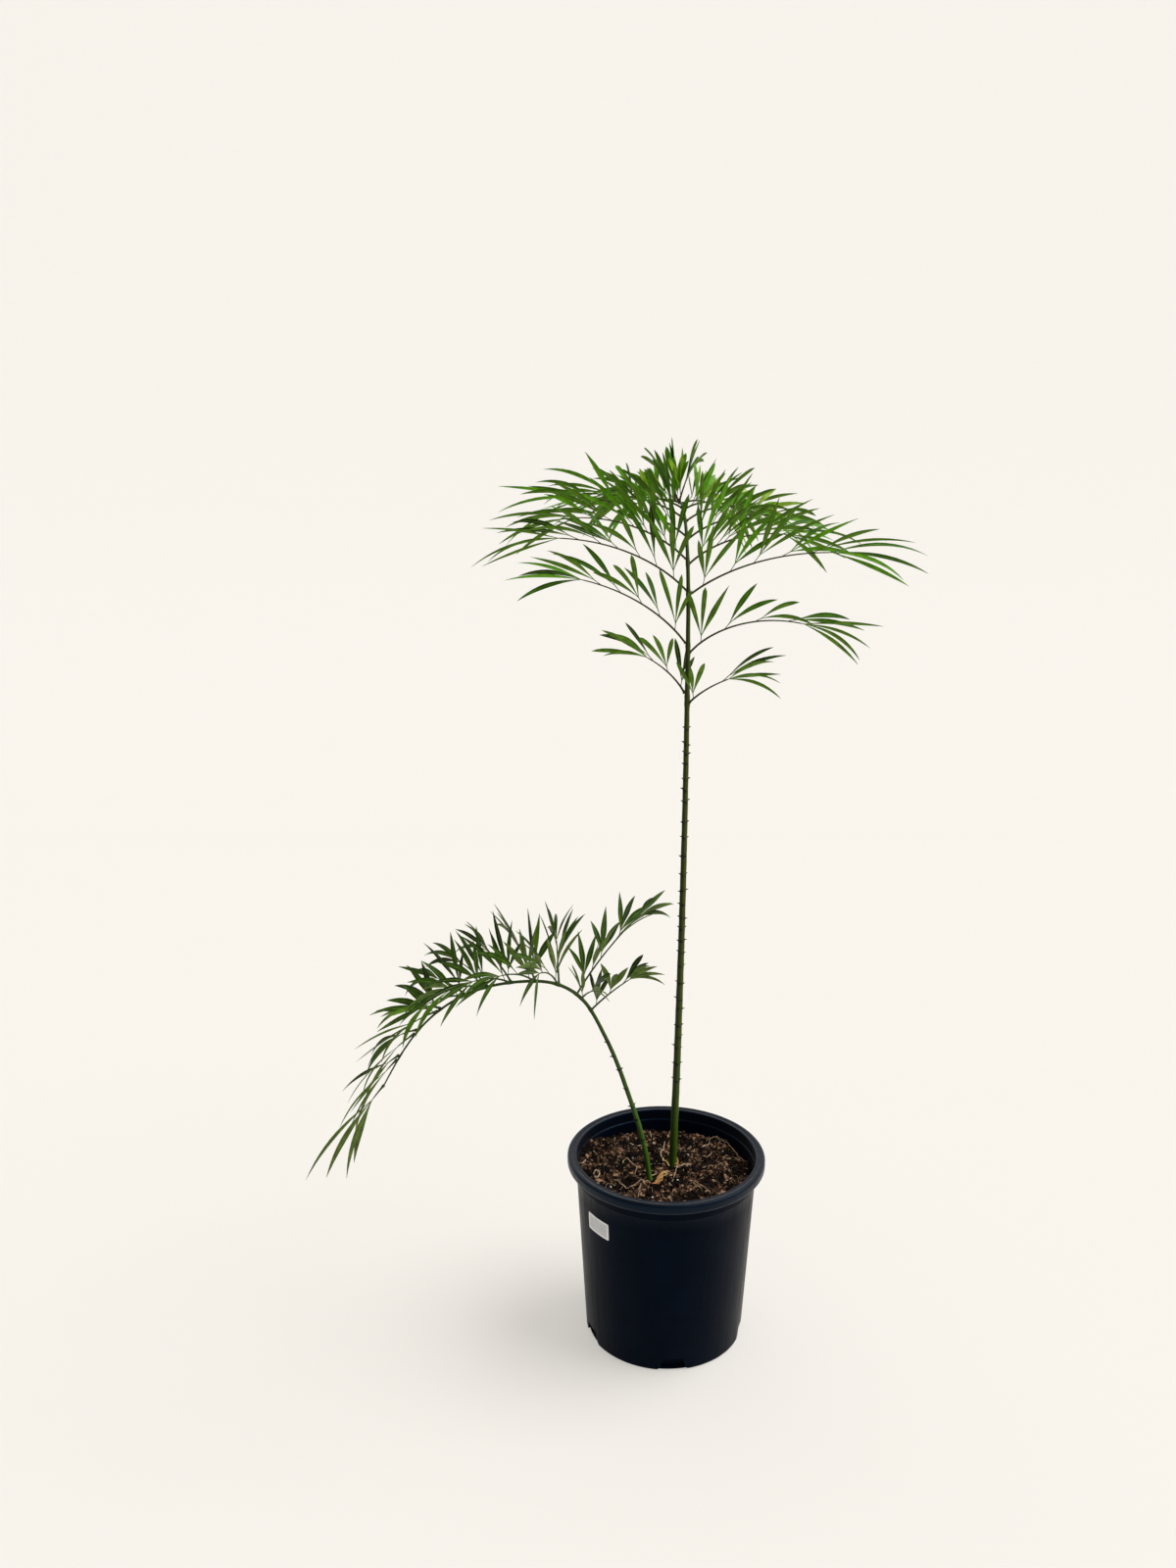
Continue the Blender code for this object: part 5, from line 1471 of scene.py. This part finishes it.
class CycadStageSettings(bpy.types.PropertyGroup):
    """Camera, floor and light."""
    lens: FloatProperty(name="Lens", description="Focal length of the camera", default=31.5,
                        unit="CAMERA")
    pitch: FloatProperty(name="Pitch", description="How far the camera looks down",
                         default=np.radians(14.63), subtype="ANGLE")
    backdrop: FloatVectorProperty(name="Backdrop", description="Colour of the floor and wall",
                                  subtype="COLOR", default=linear("#faf7f1"), min=0.0, max=1.0)
    backdrop_share: FloatProperty(name="Backdrop share", description="How much of the light it returns",
                                  default=0.50, subtype="FACTOR", min=0.0, max=1.0)
    backlight: FloatProperty(name="Backlight", description="How bright the backdrop is in all",
                             default=1.0, min=0.0, max=2.0)
    daylight: FloatProperty(name="Daylight", description="Light of the room from above and behind",
                            default=0.60, min=0.0, max=3.0)
    daylight_front: FloatProperty(name="Daylight in front", description="Light from the camera's side",
                                  default=0.12, min=0.0, max=3.0)
    window: FloatProperty(name="Window", description="Strength of the soft light from the right",
                          default=2.1, min=0.0, max=10.0)
    window_spread: FloatProperty(name="Window spread", description="How wide that light is",
                                 default=np.radians(46.0), subtype="ANGLE")
    window_from: FloatVectorProperty(name="Window from", description="Where that light comes from",
                                     subtype="DIRECTION", default=(0.55, 0.02, 0.83))


# ---- Stage ----------------------------------------------------------------------------------

# Where the room's light is strongest, and how far against that way, as cosines, it fades
ROOM_SLOPE = (0.25, 0.60, 0.76)
ROOM_RANGE = (-0.9, 1.0)
ROOM_LIGHT = (1.0, 0.965, 0.915, 1.0)
WINDOW_LIGHT = (1.0, 1.0, 0.995)
# How many directions stand for the room's light and for the window's disc
ROOM_DIRECTIONS = 4000
WINDOW_DIRECTIONS = 400
# The backdrop's near edge, the start of its bend, its top and the bend's radius, then half its width
BACKDROP_SECTION = (-4.0, 2.2, 5.0, 1.2)
BACKDROP_HALF_WIDTH = 6.0
CAMERA_PLACE = (-0.099, -1.567, 1.137)


def backdrop_line(near, bend, top, radius):
    """The backdrop's section from its near edge on, as points (y, z) and the ways it faces there: a
    floor, a quarter round and a wall."""
    turns = np.linspace(0.0, np.pi / 2.0, 33)
    floor = np.stack([np.linspace(near, bend, 61)[:-1], np.zeros(60)], axis=1)
    corner = np.stack([bend + radius * np.sin(turns), radius - radius * np.cos(turns)], axis=1)
    wall = np.stack([np.full(30, bend + radius), np.linspace(radius, top, 31)[1:]], axis=1)
    turned = np.concatenate([np.zeros(60), turns, np.full(30, np.pi / 2.0)])
    return np.vstack([floor, corner, wall]), np.stack([-np.sin(turned), np.cos(turned)], axis=1)


def backdrop_sheet(line, width):
    """The section drawn out sideways to both sides."""
    points = np.array([(x, y, z) for y, z in line for x in (-width, width)])
    return points, grid_quads(np.arange(len(points)).reshape(-1, 2)).tolist()


def light_returned(line, facing, settings, towards_window):
    """What the sheet returns at each point of its section, against its full brightness of 1: its share
    of the window's disc and of the room's light, summed over directions spread evenly, as far as
    the sheet's own floor and wall don't hide them, and of its own light where they do."""
    spiral = np.pi * (3.0 - 5.0 ** 0.5)
    turn = spiral * np.arange(ROOM_DIRECTIONS)
    height = 1.0 - (2.0 * np.arange(ROOM_DIRECTIONS) + 1.0) / ROOM_DIRECTIONS
    level = np.sqrt(1.0 - height ** 2)
    room = np.stack([level * np.cos(turn), level * np.sin(turn), height], axis=1)
    light = np.interp(room @ unit(np.array(ROOM_SLOPE)), ROOM_RANGE,
                      (settings.daylight_front, settings.daylight))
    window = unit(np.array(towards_window))
    side = unit(np.cross(window, UP))
    share = (np.arange(WINDOW_DIRECTIONS) + 0.5) / WINDOW_DIRECTIONS
    away, turn = np.tan(settings.window_spread / 2.0) * np.sqrt(share), turn[:WINDOW_DIRECTIONS]
    disc = unit(window + np.outer(away * np.cos(turn), side) + np.outer(away * np.sin(turn),
                                                                      np.cross(side, window)))
    faced = np.arctan2(facing[:, 1], facing[:, 0])

    def turned(y, z):
        return (np.arctan2(z, y) - faced[:, None] + np.pi) % FULL_TURN - np.pi

    far_end = turned(*(line[-1:] + (0.0, 0.001) - line).T[..., None])
    near_end = turned(*(line[:1] - (0.001, 0.0) - line).T[..., None])

    def seen(directions):
        way = turned(directions[None, :, 1], directions[None, :, 2])
        return np.clip(facing @ directions[:, 1:].T, 0.0, None), (way < far_end) | (way > near_end)

    slant, hidden = seen(room)
    total = 4.0 * np.mean(slant * np.where(hidden, 1.0, light[None]), axis=1)
    slant, hidden = seen(disc)
    total += settings.window / np.pi * np.mean(slant * ~hidden, axis=1)
    return settings.backdrop_share * total


def lit_paper(settings):
    """Translucent backdrop paper, lit from behind by as much as the light that it returns falls short
    of its full brightness, so that floor and wall are one even tone and still take shadows."""
    colour = tuple(settings.backdrop)
    material, tree, shader = start_material("seamless backdrop paper", Roughness=1.0, Specular_IOR_Level=0.0)
    shader.inputs["Base Color"].default_value = (*(settings.backdrop_share * v for v in colour), 1.0)
    shader.inputs["Emission Color"].default_value = (*colour, 1.0)
    glow = add_node(tree, "ShaderNodeAttribute", attribute_name="glow")
    tree.links.new(glow.outputs["Fac"], shader.inputs["Emission Strength"])
    return material


def build_stage(settings):
    """A pale floor that runs up into a wall, soft light that is strongest from above and behind, and
    the camera."""
    towards_window = Vector(settings.window_from).normalized()
    line, facing = backdrop_line(*BACKDROP_SECTION)
    sheet = new_mesh("backdrop", *backdrop_sheet(line, BACKDROP_HALF_WIDTH), [lit_paper(settings)],
                     sharp=180.0)
    glow = settings.backlight - light_returned(line, facing, settings, towards_window)
    set_values(sheet, "glow", np.repeat(np.clip(glow, 0.0, None), 2))
    world = bpy.data.worlds.new("soft room light")
    world.use_nodes = True
    tree = world.node_tree
    background = tree.nodes["Background"]
    background.inputs["Color"].default_value = ROOM_LIGHT
    heading = add_node(tree, "ShaderNodeTexCoord").outputs["Generated"]
    bright = add_node(tree, "ShaderNodeVectorMath", {1: Vector(ROOM_SLOPE).normalized()},
                      {0: heading}, operation="DOT_PRODUCT")
    strength = add_node(tree, "ShaderNodeMapRange", {"From Min": ROOM_RANGE[0], "From Max": ROOM_RANGE[1],
                                                     "To Min": settings.daylight_front,
                                                     "To Max": settings.daylight},
                        {"Value": bright.outputs["Value"]})
    tree.links.new(strength.outputs["Result"], background.inputs["Strength"])
    bpy.context.scene.world = world
    key = bpy.data.lights.new("window light", "SUN")
    key.energy = settings.window
    key.angle = settings.window_spread
    key.color = WINDOW_LIGHT
    window = bpy.data.objects.new("window light", key)
    window.rotation_euler = (-towards_window).to_track_quat("-Z", "Y").to_euler()
    bpy.context.scene.collection.objects.link(window)
    camera = bpy.data.cameras.new("camera")
    camera.sensor_width = 36.0
    camera.lens = settings.lens
    camera.clip_start = 0.01
    seen_from = bpy.data.objects.new("camera", camera)
    seen_from.location = CAMERA_PLACE
    seen_from.rotation_euler = (np.pi / 2.0 - settings.pitch, 0.0, 0.0)
    scene = bpy.context.scene
    scene.collection.objects.link(seen_from)
    scene.camera = seen_from
    scene.view_settings.view_transform = "Standard"


# ---- Operators and panel --------------------------------------------------------------------


class CYCAD_OT_stage(bpy.types.Operator):
    """Add the floor, the lamps and the camera"""
    bl_idname = "cycad.stage"
    bl_label = "Stage"

    def execute(self, context):
        build_stage(context.scene.cycad_stage)
        return {"FINISHED"}


class CYCAD_OT_pot(bpy.types.Operator):
    """Add the turned pot with its drainage notches"""
    bl_idname = "cycad.pot"
    bl_label = "Pot"

    def execute(self, context):
        build_pot(context.scene.cycad_pot)
        return {"FINISHED"}


class CYCAD_OT_label(bpy.types.Operator):
    """Add the bare label on the pot's wall"""
    bl_idname = "cycad.label"
    bl_label = "Label"

    def execute(self, context):
        build_label(context.scene.cycad_pot)
        return {"FINISHED"}


class CYCAD_OT_mix(bpy.types.Operator):
    """Add the potting mix and its crumbs"""
    bl_idname = "cycad.mix"
    bl_label = "Potting Mix"

    def execute(self, context):
        build_mix(context.scene.cycad_mix)
        return {"FINISHED"}


class CYCAD_OT_roots(bpy.types.Operator):
    """Add loose roots, bark strips and fibres on the mix"""
    bl_idname = "cycad.roots"
    bl_label = "Loose Roots"

    def execute(self, context):
        build_roots(context.scene.cycad_mix)
        return {"FINISHED"}


class CYCAD_OT_fronds(bpy.types.Operator):
    """Grow both fronds: stalks, spines, ribs and leaflets"""
    bl_idname = "cycad.fronds"
    bl_label = "Fronds"

    def execute(self, context):
        settings = context.scene.cycad_fronds
        ribs = grow_plant()
        nodes = [[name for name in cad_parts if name.startswith(f"{kind}_pinna")]
                 for kind in ("tall", "arching")]
        build_frond(settings, TALL, pinna_rows(TALL_PINNAE, TALL_RUNS), ribs, "tall_frond", nodes[0],
                    TALL_LOOK, True)
        build_frond(settings, ARCHING, pinna_rows(ARCHING_PINNAE, ARCHING_RUNS), ribs, "arching_frond",
                    nodes[1], ARCHING_LOOK, False)
        return {"FINISHED"}


class CYCAD_PT_panel(bpy.types.Panel):
    """The plant's settings, and a button for each piece"""
    bl_idname = "CYCAD_PT_panel"
    bl_label = "Potted Cycad"
    bl_space_type = "VIEW_3D"
    bl_region_type = "UI"
    bl_category = "Cycad"

    def draw(self, context):
        for group, operators in GROUPS:
            box = self.layout.box()
            settings = getattr(context.scene, group)
            for name in settings.__annotations__:
                box.prop(settings, name)
            for operator in operators:
                box.operator(operator.bl_idname)


SETTINGS = (("cycad_stage", CycadStageSettings), ("cycad_pot", CycadPotSettings),
            ("cycad_mix", CycadMixSettings), ("cycad_fronds", CycadFrondSettings))
GROUPS = (("cycad_stage", (CYCAD_OT_stage,)), ("cycad_pot", (CYCAD_OT_pot, CYCAD_OT_label)),
          ("cycad_mix", (CYCAD_OT_mix, CYCAD_OT_roots)), ("cycad_fronds", (CYCAD_OT_fronds,)))
CLASSES = (*(group for _, group in SETTINGS), *(operator for _, some in GROUPS for operator in some),
           CYCAD_PT_panel)


def register():
    """Register the classes and put the settings on the scene."""
    for cls in CLASSES:
        bpy.utils.register_class(cls)
    for name, group in SETTINGS:
        setattr(bpy.types.Scene, name, PointerProperty(type=group))


def unregister():
    """Take the settings and the classes away again."""
    for name, _ in SETTINGS:
        delattr(bpy.types.Scene, name)
    for cls in reversed(CLASSES):
        bpy.utils.unregister_class(cls)


def main():
    """Build every piece in order."""
    register()
    bpy.ops.cycad.stage()
    bpy.ops.cycad.pot()
    bpy.ops.cycad.label()
    bpy.ops.cycad.mix()
    bpy.ops.cycad.roots()
    bpy.ops.cycad.fronds()


if __name__ == "__main__":
    main()
